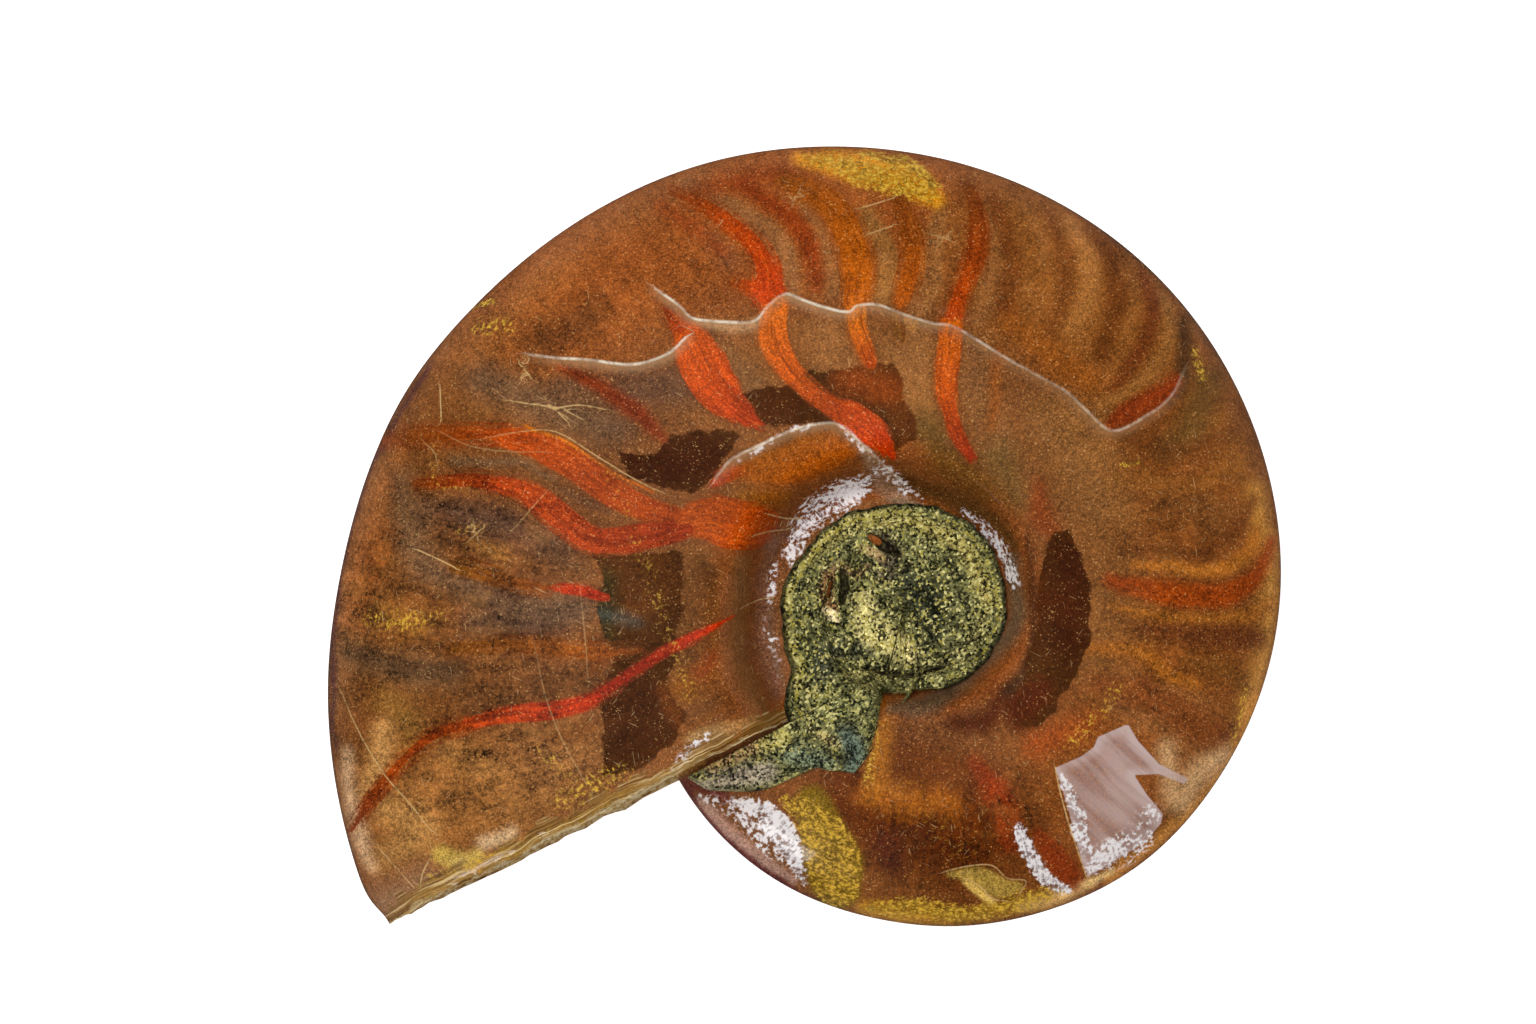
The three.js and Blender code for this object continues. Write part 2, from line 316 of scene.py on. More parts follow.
def near_stroke(pixels, points, reach):
    """The pixels near a stroke: which they are, how far they are from its edge, and
    how far along it and to its side."""
    path = curve_through(points)
    if len(path) == 1:
        path = np.vstack([path, path + (0.01, 0, 0)])
    margin = reach + path[:, 2].max() / 2
    low = path[:, :2].min(0) - margin
    high = path[:, :2].max(0) + margin
    chosen = np.flatnonzero(((pixels > low) & (pixels < high)).all(1))
    near = pixels[chosen]
    gap = np.full(len(near), 1e9)
    along = np.zeros(len(near))
    aside = np.zeros(len(near))
    weight = np.zeros(len(near))
    start = 0
    for a, b in zip(path[:-1], path[1:]):
        span = b[:2] - a[:2]
        length = math.hypot(*span)
        t = np.clip((near - a[:2]) @ span / length**2, 0, 1)
        offset = near - a[:2] - t[:, None] * span
        distance = np.hypot(*offset.T)
        width = a[2] + (b[2] - a[2]) * t
        closer = distance - width / 2 < gap
        gap = np.where(closer, distance - width / 2, gap)
        along = np.where(closer, start + t * length, along)
        side = np.where(span[0] * offset[:, 1] < span[1] * offset[:, 0], -1, 1)
        aside = np.where(closer, side * distance, aside)
        weight = np.where(closer, width, weight)
        start += length
    return chosen, gap, along, aside, weight, start


def shape_distance(pixels, corners):
    """Distance from each pixel to a closed shape's edge, negative inside it."""
    c = np.array(corners, float)
    nearest = np.full(len(pixels), 1e9)
    inside = np.zeros(len(pixels), bool)
    for a, b in zip(c, np.roll(c, -1, 0)):
        span = b - a
        t = np.clip((pixels - a) @ span / (span @ span), 0, 1)
        nearest = np.minimum(nearest, np.hypot(*(pixels - a - t[:, None] * span).T))
        crosses = (a[1] > pixels[:, 1]) != (b[1] > pixels[:, 1])
        slope = span[0] * (pixels[:, 1] - a[1]) / (span[1] or 1e-9)
        inside ^= crosses & (pixels[:, 0] < a[0] + slope)
    return np.where(inside, -nearest, nearest)


def line_fields(pixels, lines, reach=16):
    """Signed distance to the nearest line, and how strongly it shows there."""
    signed = np.full(len(pixels), float(reach))
    shows = np.zeros(len(pixels))
    for points in lines:
        thin = [(x, y, 0.001 * shown) for x, y, shown in points]
        chosen, _, _, aside, weight, _ = near_stroke(pixels, thin, reach)
        closer = np.abs(aside) < np.abs(signed[chosen])
        fade = smooth(1.4 * (1 - np.abs(aside) / reach))
        signed[chosen[closer]] = aside[closer]
        shows[chosen[closer]] = (1000 * weight * fade)[closer]
    return signed, shows


# Washes of colour, from broad to small: name, colour, strength, softness in pixels, and
# points (x, y, width). Later ones cover earlier ones.
WASHES = (
    ("whole left", "7c5029", 1, 90, [(470, 620, 240)]),
    ("whole top", "9a5b2c", 1, 70, [(560, 300, 160), (760, 230, 150), (930, 210, 120)]),
    ("upper right", "8f5c2c", 1, 60, [(1010, 230, 130), (1150, 340, 150)]),
    ("right", "845126", 1, 60, [(1180, 470, 180), (1180, 640, 180)]),
    ("lower right", "8a5325", 1, 60, [(1120, 720, 140), (1060, 830, 120)]),
    ("bottom", "633207", 1, 50, [(960, 830, 130), (870, 800, 120)]),
    ("inner crest", "8e5e30", 0.9, 40, [(700, 380, 60), (830, 350, 60), (960, 390, 60)]),
    ("crest right", "8c6034", 0.9, 40, [(1070, 440, 70), (1110, 560, 50), (1100, 660, 50)]),
    ("left of navel", "70481f", 0.8, 30, [(700, 600, 90), (720, 690, 60)]),
    ("left edge", "96683f", 0.8, 20, [(372, 460, 26), (345, 560, 26), (338, 700, 26)]),
    ("lower left", "96683a", 0.9, 40, [(400, 800, 80), (500, 800, 100), (570, 760, 60)]),
    ("tip", "99755a", 0.8, 18, [(392, 900, 40), (420, 880, 30)]),
    ("upper left edge", "a06a3c", 0.7, 25, [(470, 350, 30), (560, 262, 26), (700, 180, 20)]),
    ("violet left", "6c4d3c", 0.75, 18, [(430, 512, 20), (480, 520, 34), (560, 545, 22)]),
    ("violet middle", "6a4630", 0.75, 18, [(470, 622, 26), (560, 618, 30), (610, 600, 20)]),
    ("violet dark", "6c543c", 0.7, 16, [(352, 655, 22), (400, 668, 30), (450, 678, 22)]),
    ("brown low left", "644020", 0.6, 20, [(470, 690, 24), (560, 690, 24), (620, 670, 20)]),
    ("olive left", "96703a", 0.7, 14, [(385, 700, 20), (408, 722, 26), (412, 745, 18)]),
    ("orange left rim", "945626", 0.7, 14, [(356, 600, 16), (372, 560, 22), (392, 530, 18)]),
    ("red upper left", "93562b", 0.6, 25, [(600, 262, 50), (650, 240, 40)]),
    ("dark upper left", "6d4526", 0.7, 20, [(540, 340, 40), (590, 315, 30)]),
    ("grey under step", "6e4e3a", 0.85, 14, [(560, 385, 16), (620, 390, 34), (690, 385, 40)]),
    ("grey inner step", "805a38", 0.8, 10, [(706, 345, 26), (738, 372, 30), (760, 392, 20)]),
    ("grey crest a", "96663a", 0.85, 10, [(822, 330, 34), (838, 362, 34)]),
    ("grey crest b", "94663a", 0.85, 10, [(905, 345, 40), (915, 380, 34), (926, 420, 22)]),
    ("grey crest c", "8c603a", 0.8, 12, [(975, 360, 26), (980, 400, 30), (1000, 440, 30)]),
    ("olive crest", "695024", 0.8, 16, [(925, 425, 26), (950, 460, 34), (985, 490, 26)]),
    ("olive right of P1", "745a30", 0.7, 16, [(1000, 455, 34), (1015, 500, 26)]),
    ("tan right", "96683a", 0.7, 24, [(1050, 410, 40), (1090, 455, 50), (1110, 500, 40)]),
    ("tan mid right", "84562a", 0.7, 20, [(1110, 540, 34), (1118, 600, 30), (1105, 640, 30)]),
    ("brown far right", "8c5c2a", 0.7, 20, [(1225, 420, 30), (1250, 490, 30)]),
    ("olive right", "6d522c", 0.7, 12, [(1208, 380, 30), (1190, 430, 34), (1165, 450, 20)]),
    ("violet right", "6f4826", 0.7, 18, [(1170, 500, 40), (1215, 520, 34)]),
    ("orange crest glow", "985a1f", 0.75, 16, [(1010, 325, 26), (1055, 362, 34), (1090, 385, 26)]),
    ("tan low right", "94643c", 0.8, 18, [(1130, 700, 50), (1180, 720, 60), (1200, 760, 40)]),
    ("dark low right", "74451f", 0.7, 16, [(1030, 790, 34), (1030, 830, 30)]),
    ("orange low right", "a5531c", 0.7, 14, [(1038, 745, 26), (1070, 731, 22), (1090, 720, 14)]),
    ("bottom amber", "9a5c0c", 0.9, 16, [(870, 795, 24), (910, 800, 34), (950, 803, 26)]),
    ("bottom dark a", "52281a", 0.85, 14, [(886, 842, 26), (892, 862, 22)]),
    ("bottom dark b", "5c2c05", 0.8, 16, [(930, 840, 40), (960, 850, 30)]),
    ("bottom mid", "744114", 0.8, 18, [(900, 760, 30), (950, 768, 34)]),
    ("left navel dark", "7a5230", 0.8, 14, [(735, 640, 26), (752, 670, 30), (770, 700, 24)]),
    ("orange haze", "8f5813", 0.7, 12, [(672, 690, 18), (690, 686, 26), (706, 676, 16)]),
    ("red by navel", "8f4212", 0.6, 10, [(716, 655, 12), (700, 672, 14)]),
    ("grey top a", "946640", 0.9, 5,
     [(690, 184, 14), (734, 207, 20), (765, 230, 22), (784, 257, 24), (788, 290, 24)]),
    ("grey top b", "94653c", 0.85, 5,
     [(800, 206, 8), (816, 226, 12), (827, 257, 14), (832, 290, 16)]),
    ("grey top c", "9a6c3c", 0.9, 5,
     [(866, 212, 14), (882, 241, 20), (887, 268, 22), (884, 298, 22)]),
    ("grey top d", "98683c", 0.9, 5,
     [(940, 212, 16), (933, 250, 22), (928, 284, 24), (918, 308, 20)]),
    ("grey top e", "926238", 0.9, 6,
     [(990, 205, 16), (995, 250, 22), (990, 290, 22), (975, 318, 16)]),
    ("violet top", "7f5338", 0.7, 12, [(712, 238, 16), (726, 258, 22)]),
    ("amber by tail", "9c6414", 0.95, 10,
     [(880, 700, 12), (884, 730, 18), (878, 765, 22), (872, 795, 18)]),
    ("navel ochre", "a05c12", 0.95, 7,
     [(735, 474, 14), (780, 466, 36), (826, 454, 38), (846, 452, 14)]),
    ("navel ochre low", "86561a", 0.9, 8, [(745, 500, 20), (780, 500, 18)]),
    ("ring violet", "7c5f4e", 0.85, 6,
     [(775, 690, 14), (764, 640, 18), (765, 580, 18), (778, 545, 14), (796, 524, 8)]),
    # Painted rim light: the lower edge is paler where light from below shows through it.
    ("lilac edge", "b08f86", 0.85, 5,
     [(700, 800, 10), (730, 832, 16), (765, 862, 14), (795, 880, 8)]),
    ("rose edge", "6e3034", 0.95, 3,
     [(682, 784, 8), (712, 825, 7), (757, 866, 7), (800, 893, 6), (834, 908, 5)]),
    ("red by tail", "7c4440", 0.9, 5, [(688, 782, 16), (708, 786, 14), (728, 800, 8)]),
    ("lip bronze", "c09858", 0.8, 5,
     [(420, 900, 14), (470, 876, 18), (540, 842, 16), (600, 810, 14), (650, 785, 12),
      (700, 760, 10)]),
    ("lip olive", "c8ac5c", 0.85, 5, [(440, 856, 18), (462, 862, 16), (478, 856, 10)]),
    ("lip rose", "ccae8c", 0.8, 6, [(484, 843, 16), (512, 832, 14)]),
    ("pale facet", "b0964e", 0.8, 2.5,
     [(950, 874, 5), (968, 872, 11), (986, 877, 20), (1003, 888, 19), (1018, 887, 10)]),
    # Painted rim light: the outer edges are paler where light from below shows through them.
    ("edge amber a", "c08c40", 0.9, 14,
     [(1256, 490, 10), (1266, 545, 14), (1270, 600, 16), (1262, 660, 16), (1246, 716, 14)]),
    ("edge amber b", "c48a40", 0.9, 7,
     [(1258, 700, 12), (1228, 764, 12), (1180, 822, 12), (1110, 878, 11)]),
    ("left rim lilac", "5e3a3c", 0.85, 3,
     [(430, 366, 5), (370, 470, 5), (340, 580, 5), (333, 700, 5), (336, 750, 3)]),
    ("left rim warm", "a86a38", 0.6, 14, [(400, 450, 14), (362, 540, 16), (350, 620, 12)]),
    ("low left glow", "ae8452", 0.8, 16, [(372, 800, 20), (420, 830, 34), (380, 860, 20)]),
    ("violet a", "4c3a32", 0.45, 10, [(428, 500, 12), (470, 512, 20), (510, 520, 18)]),
    ("violet b", "503c30", 0.35, 12, [(350, 655, 16), (400, 664, 26), (460, 672, 16)]),
    ("violet c", "54402f", 0.45, 10, [(540, 548, 12), (566, 560, 18), (590, 572, 10)]),
    ("violet d", "5a4438", 0.65, 12, [(570, 620, 16), (520, 628, 20), (470, 620, 14)]),
    ("grey streak a", "64483a", 0.5, 4, [(560, 488, 5), (590, 502, 7), (612, 512, 3)]),
    ("grey streak b", "70604e", 0.45, 4, [(452, 460, 8), (516, 463, 8), (555, 478, 5)]),
    ("gold mottle a", "9c6f34", 0.6, 14, [(380, 610, 14), (420, 626, 20)]),
    ("gold mottle b", "94682c", 0.6, 10, [(470, 545, 12), (500, 556, 16)]),
    ("dark under P3", "5c3a10", 0.8, 8, [(700, 560, 10), (716, 590, 18), (722, 640, 14)]),
    ("navel rim streaks", "80603e", 0.85, 7,
     [(742, 560, 14), (738, 610, 18), (740, 660, 18), (756, 706, 14)]),
    ("navel rim warm", "8a6040", 0.8, 8,
     [(728, 580, 14), (726, 630, 18), (732, 680, 18), (752, 714, 14)]),
    ("top glow", "b06c38", 0.7, 14, [(720, 168, 14), (770, 158, 16), (800, 156, 12)]),
    ("left low bright", "bc905c", 0.9, 12, [(384, 730, 18), (378, 765, 24), (366, 795, 16)]),
    ("left low middle", "9c7040", 0.7, 14, [(450, 750, 30), (490, 770, 30)]),
    ("foot of P4", "582a0c", 0.9, 9,
     [(955, 722, 14), (985, 722, 24), (1006, 694, 18), (1020, 718, 34), (1044, 700, 24)]),
    ("grey left a", "705844", 0.75, 16, [(440, 575, 26), (520, 600, 40), (580, 606, 26)]),
    ("grey left b", "725a46", 0.65, 16, [(400, 480, 20), (408, 520, 36), (420, 560, 34)]),
    ("grey left c", "725a46", 0.7, 18, [(480, 380, 34), (560, 410, 40), (620, 430, 28)]),
    ("cream chip", "d8c8a0", 1, 1.5, [(410, 911, 4), (416, 906, 9), (426, 901, 5)]),
    ("pale by tail", "b79a6a", 0.5, 5, [(690, 740, 10), (720, 732, 14), (756, 720, 10)]),
    ("gold bottom", "b08424", 0.9, 7,
     [(866, 908, 14), (905, 914, 18), (960, 916, 16), (1040, 902, 14)]),
    ("gold patch low", "7c6414", 0.95, 6,
     [(812, 800, 30), (822, 836, 48), (834, 864, 58), (838, 886, 46)]),
    ("gold bottom right", "d8b070", 0.85, 6, [(1020, 906, 8), (1052, 898, 12), (1090, 882, 8)]),
    ("tan by facet", "c8a47c", 0.85, 12,
     [(1165, 752, 16), (1176, 802, 20), (1192, 780, 22), (1218, 756, 22)]),
    ("left rim low", "dcb894", 0.8, 9,
     [(346, 752, 8), (348, 790, 9), (357, 830, 13), (372, 866, 8)]),
    # Painted reflection: the soft edge of the dark reflection beside the stripe.
    ("brown under stripe", "6a4018", 0.75, 9, [(548, 734, 8), (578, 732, 18), (596, 722, 10)]),
    ("ring outer dark", "4c3220", 0.85, 5,
     [(1028, 540, 6), (1034, 600, 12), (1032, 655, 14), (1008, 690, 14)]),
    ("grey over navel", "94826f", 0.7, 6, [(862, 452, 6), (884, 486, 18), (912, 506, 12)]),
    # Painted highlights: a glint on the chip's lower edge, and the bright foot of the glare on the
    # rim.
    ("chip glow", "e0c070", 0.85, 3, [(966, 879, 4), (981, 890, 8), (992, 901, 8)]),
    ("low rim glow", "e8c890", 0.8, 4, [(1062, 893, 6), (1088, 881, 8), (1112, 871, 6)]),
    ("brown by P3", "6e3c10", 0.7, 8, [(590, 640, 12), (598, 668, 14)]),
    # Painted sheen: the soft glow beside the glint of the step above it.
    ("glow under ledge a", "c49468", 0.75, 5, [(698, 323, 6), (740, 327, 9), (764, 320, 6)]),
    ("glow under ledge b", "c08840", 0.65, 5, [(895, 317, 8), (915, 327, 8)]),
    ("edge dark", "6f4a35", 0.7, 4,
     [(1000, 168, 8), (1080, 212, 8), (1160, 276, 8), (1226, 366, 8)]),
    ("gold top", "dc9a14", 1, 9,
     [(800, 158, 10), (845, 166, 24), (885, 172, 30), (915, 184, 30), (936, 200, 14)]),
    ("red top", "94450f", 0.7, 12, [(700, 190, 18), (760, 176, 18), (800, 180, 14)]),
    ("ring grey", "6c5c4a", 0.95, 7,
     [(1012, 560, 14), (1016, 620, 18), (981, 664, 18), (930, 702, 22), (892, 708, 12)]),
    ("ring olive", "5d4626", 0.85, 8,
     [(905, 480, 14), (950, 500, 18), (990, 520, 14), (1012, 545, 12)]),
)

# Sickle-shaped growth bands: colour, strength, softness, points with widths.
BANDS = (
    ("78441c", 0.8, 6, [(994, 197, 14), (1011, 254, 20), (1007, 307, 22)]),
    ("9a683a", 0.7, 6, [(1024, 204, 6), (1044, 240, 9), (1044, 264, 8)]),
    ("7c4a22", 0.7, 7, [(1048, 208, 10), (1064, 250, 14), (1062, 300, 16), (1050, 330, 16)]),
    ("a87440", 0.85, 7, [(1071, 224, 12), (1088, 254, 20), (1088, 294, 20), (1074, 327, 16)]),
    ("73421a", 0.8, 7, [(1091, 230, 12), (1115, 264, 20), (1118, 307, 22), (1101, 354, 18)]),
    ("966231", 0.75, 5, [(1120, 262, 6), (1135, 300, 9), (1125, 340, 8)]),
    ("78401c", 0.8, 6, [(1141, 271, 10), (1151, 307, 16), (1141, 348, 16), (1115, 388, 12)]),
    ("9a6a38", 0.8, 5,
     [(1163, 296, 8), (1172, 334, 14), (1155, 368, 13), (1128, 391, 12), (1098, 404, 8)]),
    ("46301c", 0.75, 6, [(1183, 318, 10), (1187, 350, 16), (1180, 384, 15), (1168, 400, 10)]),
    ("8c3d14", 0.9, 5, [(1176, 380, 12), (1158, 397, 20), (1130, 413, 22), (1110, 425, 12)]),
    ("704320", 0.6, 9, [(1120, 440, 14), (1190, 452, 18), (1232, 430, 14)]),
    ("94622e", 0.6, 9, [(1110, 476, 12), (1190, 486, 14), (1240, 462, 12)]),
    ("6c3f1c", 0.75, 6, [(1122, 548, 8), (1200, 552, 14), (1236, 531, 13), (1254, 500, 10)]),
    ("ac6f2c", 0.85, 5, [(1135, 565, 8), (1215, 569, 13), (1246, 555, 14), (1258, 532, 9)]),
    ("9a480e", 0.9, 6,
     [(1110, 580, 14), (1167, 593, 24), (1222, 595, 24), (1256, 577, 18), (1270, 542, 10)]),
    ("a3692a", 0.8, 6, [(1112, 606, 8), (1180, 620, 12), (1250, 616, 13), (1270, 600, 8)]),
    ("6c3e20", 0.8, 7, [(1140, 628, 10), (1222, 638, 22), (1256, 640, 20)]),
    ("a76a28", 0.85, 6, [(1087, 648, 10), (1139, 651, 14), (1167, 672, 15), (1194, 682, 10)]),
    ("7c4620", 0.8, 9, [(1100, 684, 20), (1153, 700, 34), (1210, 735, 34)]),
    ("825628", 0.7, 8, [(1190, 660, 14), (1230, 672, 18), (1245, 690, 14)]),
    ("8e4416", 0.7, 9, [(1040, 486, 12), (1042, 512, 22), (1056, 535, 12)]),
    ("9e5c22", 0.65, 7, [(997, 350, 8), (995, 385, 13), (990, 425, 10)]),
    ("8a3e12", 0.9, 7,
     [(740, 184, 10), (768, 200, 16), (790, 218, 20), (806, 240, 20), (815, 265, 18),
      (816, 284, 10)]),
    ("94441a", 0.6, 9, [(660, 205, 12), (690, 225, 14), (720, 250, 12)]),
    ("8c4a1c", 0.8, 8, [(380, 440, 12), (420, 436, 20), (455, 436, 22)]),
    ("86380e", 0.9, 6, [(562, 367, 8), (607, 392, 16), (639, 415, 16), (664, 440, 8)]),
    ("8a3a10", 0.85, 9, [(977, 762, 14), (992, 785, 24), (1004, 812, 28), (1012, 842, 20)]),
    ("84380e", 0.9, 6, [(1038, 836, 12), (1056, 860, 26), (1072, 880, 22)]),
)

# Orange and red stripes: first and last colour, softness, points with widths.
FLAMES = (
    ("9c4a16", "c84806", 4.5,
     [(671, 190, 8), (703, 206, 14), (730, 223, 17), (753, 245, 20), (766, 268, 26),
      (769, 292, 34)]),
    ("a04a14", "c84c08", 5, [(736, 284, 14), (756, 287, 18)]),
    ("d26c0e", "c03c08", 2.5,
     [(778, 304, 22), (773, 322, 30), (775, 345, 30), (788, 368, 26), (806, 388, 22),
      (830, 406, 22), (858, 421, 32), (880, 439, 24), (894, 458, 5)]),
    ("94501c", "be620a", 4.5,
     [(782, 180, 14), (806, 190, 24), (828, 205, 28), (844, 225, 31), (854, 250, 31),
      (857, 275, 31), (856, 300, 27)]),
    ("da7c18", "bc500a", 2.5, [(857, 306, 20), (857, 326, 19), (864, 348, 18), (870, 363, 15)]),
    ("9a5c28", "8a5630", 4, [(896, 312, 12), (900, 338, 10)]),
    ("904c20", "b85c0c", 5,
     [(899, 200, 14), (908, 224, 20), (913, 250, 22), (912, 270, 22), (907, 290, 20),
      (899, 306, 12)]),
    ("8c481c", "c24e0a", 5,
     [(970, 190, 14), (978, 218, 17), (977, 249, 17), (970, 273, 18), (959, 296, 20),
      (951, 320, 22)]),
    ("d2690c", "b23c0a", 2.5,
     [(950, 325, 23), (948, 357, 23), (946, 389, 22), (950, 410, 18), (958, 434, 14),
      (972, 458, 8)]),
    ("8a3c14", "c24a08", 3, [(664, 306, 5), (676, 322, 16), (690, 338, 28)]),
    ("cc5a0a", "b83e08", 2.5,
     [(690, 338, 32), (702, 364, 48), (715, 387, 46), (737, 408, 30), (762, 426, 6)]),
    ("8a4818", "b04a0a", 5, [(413, 436, 14), (467, 434, 18), (505, 436, 22)]),
    ("b84e08", "a8480c", 2.5,
     [(505, 437, 22), (540, 447, 27), (572, 464, 30), (604, 486, 31), (640, 507, 28),
      (684, 518, 16)]),
    ("dc7c10", "cc6a14", 1.5, [(524, 426, 2), (574, 446, 4), (613, 472, 4), (654, 492, 2)]),
    ("8a4016", "b04008", 4, [(418, 485, 8), (467, 480, 14), (506, 485, 18)]),
    ("b84a08", "a43c0a", 2.5,
     [(506, 486, 18), (535, 496, 25), (564, 520, 30), (594, 540, 29), (638, 538, 27),
      (690, 526, 22)]),
    ("b85410", "a84c16", 3,
     [(684, 522, 26), (707, 518, 42), (730, 524, 50), (752, 526, 42), (774, 518, 14)]),
    ("bc3c06", "a85810", 4, [(714, 482, 10), (732, 472, 14), (748, 468, 6)]),
    ("84501c", "944c14", 6, [(455, 566, 10), (500, 578, 18), (545, 588, 14)]),
    ("b0380c", "b83608", 2.5, [(552, 587, 6), (580, 591, 12), (606, 598, 10)]),
    ("8a5018", "944c12", 4, [(452, 649, 10), (513, 645, 16), (592, 651, 16), (640, 650, 8)]),
    ("c03c08", "ac2c06", 2.5, [(734, 615, 2), (700, 634, 10), (660, 654, 14), (623, 679, 14)]),
    ("ac2c06", "b8480e", 2.5,
     [(623, 679, 14), (600, 696, 14), (578, 706, 16), (540, 712, 18), (502, 716, 17),
      (469, 724, 15)]),
    ("a8480f", "9a4416", 4,
     [(469, 724, 15), (434, 736, 14), (406, 758, 14), (382, 785, 15), (366, 806, 12),
      (350, 830, 6)]),
)

# Painted reflections: dark patches in the crest, with clear edges, where the polish mirrors the
# dark around the camera overhead, and the colours inside them.
DARK_REFLECTIONS = (
    [(728, 396), (788, 386), (803, 373), (892, 362), (903, 385), (918, 440), (890, 456), (862, 432),
     (838, 420), (812, 422), (776, 428), (745, 420)],
    [(619, 452), (657, 451), (671, 436), (719, 430), (745, 434), (722, 456), (714, 480), (692, 494),
     (663, 486), (627, 478)],
    [(592, 553), (683, 551), (684, 607), (676, 645), (668, 684), (684, 712), (676, 742),
     (640, 768), (604, 776), (600, 706), (612, 655), (597, 610), (604, 586)],
    [(1050, 534), (1070, 526), (1084, 560), (1092, 600), (1090, 640), (1074, 676), (1053, 712),
     (1036, 728), (1012, 722), (1022, 676), (1036, 630), (1040, 580)],
)
DARK_REFLECTION_COLOURS = (
    ("542c06", 1, 20, [(740, 410, 30), (790, 400, 40)]),
    ("8a450a", 1, 16, [(850, 380, 30), (890, 390, 30)]),
    ("6a3a0c", 0.8, 10, [(905, 420, 30)]),
    ("7a360a", 0.8, 10, [(840, 410, 16), (870, 430, 16)]),
    ("482306", 1, 16, [(640, 465, 40), (700, 460, 50)]),
    ("60380f", 1, 16, [(640, 580, 80)]),
    ("3f3518", 0.9, 12, [(606, 580, 24), (604, 640, 24)]),
    ("4a6468", 0.35, 8, [(584, 612, 8), (610, 616, 12), (636, 622, 10)]),
    ("4c290a", 1, 16, [(640, 720, 80)]),
    ("7a4410", 0.7, 8, [(664, 690, 16), (676, 720, 14)]),
    ("4c2408", 1, 20, [(1070, 560, 40), (1070, 640, 40)]),
    ("5c2a0a", 0.9, 10, [(1022, 706, 34), (1040, 690, 26)]),
    ("5a2c08", 0.8, 8, [(1050, 600, 14), (1070, 606, 16)]),
)

# Painted sheen and glare, pale reflections of the lamps on the polish: strength, softness, points
# with widths.
SHEEN_STROKES = (
    (0.95, 9, [(790, 560, 8), (804, 528, 20), (826, 506, 28), (852, 488, 18), (876, 474, 6)]),
    (0.65, 5, [(844, 430, 3), (860, 447, 5), (880, 466, 10), (900, 484, 12), (920, 500, 5)]),
    (0.6, 2, [(735, 463, 1), (772, 441, 3), (802, 428, 4), (830, 424, 4)]),
    (0.9, 5, [(962, 512, 5), (984, 530, 9), (1004, 556, 9), (1016, 584, 6)]),
    (0.7, 6, [(700, 794, 5), (722, 804, 10), (744, 818, 14), (766, 842, 14), (786, 864, 8)]),
    (1.15, 5, [(736, 802, 5), (762, 810, 18), (779, 830, 26), (793, 856, 18), (805, 880, 5)]),
    (0.65, 6, [(676, 772, 8), (694, 752, 16), (710, 740, 8)]),
    (0.5, 6, [(775, 560, 6), (770, 620, 8), (776, 680, 6)]),
    (0.9, 5, [(1064, 778, 7), (1077, 812, 14), (1085, 850, 14)]),
    (0.75, 12, [(1092, 862, 14), (1126, 846, 26), (1150, 818, 18)]),
    (1.2, 3, [(1021, 828, 9), (1025, 848, 13), (1036, 868, 14), (1052, 885, 13), (1066, 889, 7)]),
)
# Painted glare: the shape of a lamp's reflection at the lower right, with clear edges.
GLARES = (
    [(1055, 768), (1082, 756), (1094, 747), (1098, 737), (1128, 724), (1138, 741), (1159, 764),
     (1189, 779), (1184, 784), (1159, 774), (1134, 775), (1147, 795), (1163, 814), (1161, 823),
     (1145, 843), (1122, 856), (1088, 877), (1082, 862), (1076, 839), (1067, 804), (1059, 779)],
)

# Golden flakes: strength, softness, points with widths.
GOLDS = (
    (0.9, 9, [(806, 158, 8), (840, 166, 22), (875, 176, 30), (905, 182, 32), (934, 198, 14)]),
    (1, 5, [(860, 154, 6), (895, 160, 12), (920, 172, 14), (936, 188, 10)]),
    (0.95, 5, [(786, 799, 10), (810, 820, 32), (830, 850, 52), (838, 884, 44)]),
    (0.9, 6, [(872, 908, 12), (920, 908, 20), (975, 912, 14), (1020, 902, 18), (1046, 894, 12)]),
    (0.35, 8, [(461, 530, 12), (480, 526, 14)]),
    (0.5, 10, [(413, 627, 14), (372, 620, 16), (440, 618, 12)]),
    (0.45, 10, [(540, 750, 12), (582, 788, 10)]),
    (0.6, 8, [(430, 880, 14), (480, 866, 14), (560, 832, 12), (640, 792, 12), (700, 758, 10)]),
    (0.55, 14, [(560, 800, 20), (620, 775, 20)]),
    (0.8, 5, [(1197, 352, 7), (1202, 376, 8)]),
    (0.9, 3, [(1122, 466, 4), (1142, 463, 4)]),
    (0.6, 8, [(476, 328, 12), (508, 325, 12)]),
    (1, 3, [(472, 310, 4), (494, 301, 5)]),
    (0.3, 6, [(436, 440, 6), (434, 480, 8), (470, 486, 6)]),
    (0.6, 5, [(1248, 690, 5), (1232, 745, 6)]),
    (0.6, 8, [(866, 700, 10), (874, 730, 10), (866, 780, 14)]),
    (0.3, 12, [(690, 690, 20), (610, 470, 10)]),
    (0.4, 10, [(1072, 742, 20), (1120, 690, 16)]),
    (0.18, 20, [(900, 790, 40), (960, 850, 40)]),
)

# Where the shell is mottled with violet-brown and gold.
MOTTLES = (
    (1, 40, [(400, 620, 150), (480, 560, 170), (540, 700, 160), (430, 780, 120)]),
    (0.6, 50, [(520, 380, 120), (600, 300, 60)]),
    (0.8, 30, [(860, 780, 40), (930, 840, 90), (1010, 800, 60)]),
    (0.5, 30, [(1180, 520, 90), (1150, 700, 80)]),
    (0.3, 30, [(700, 250, 60), (1000, 280, 60)]),
)
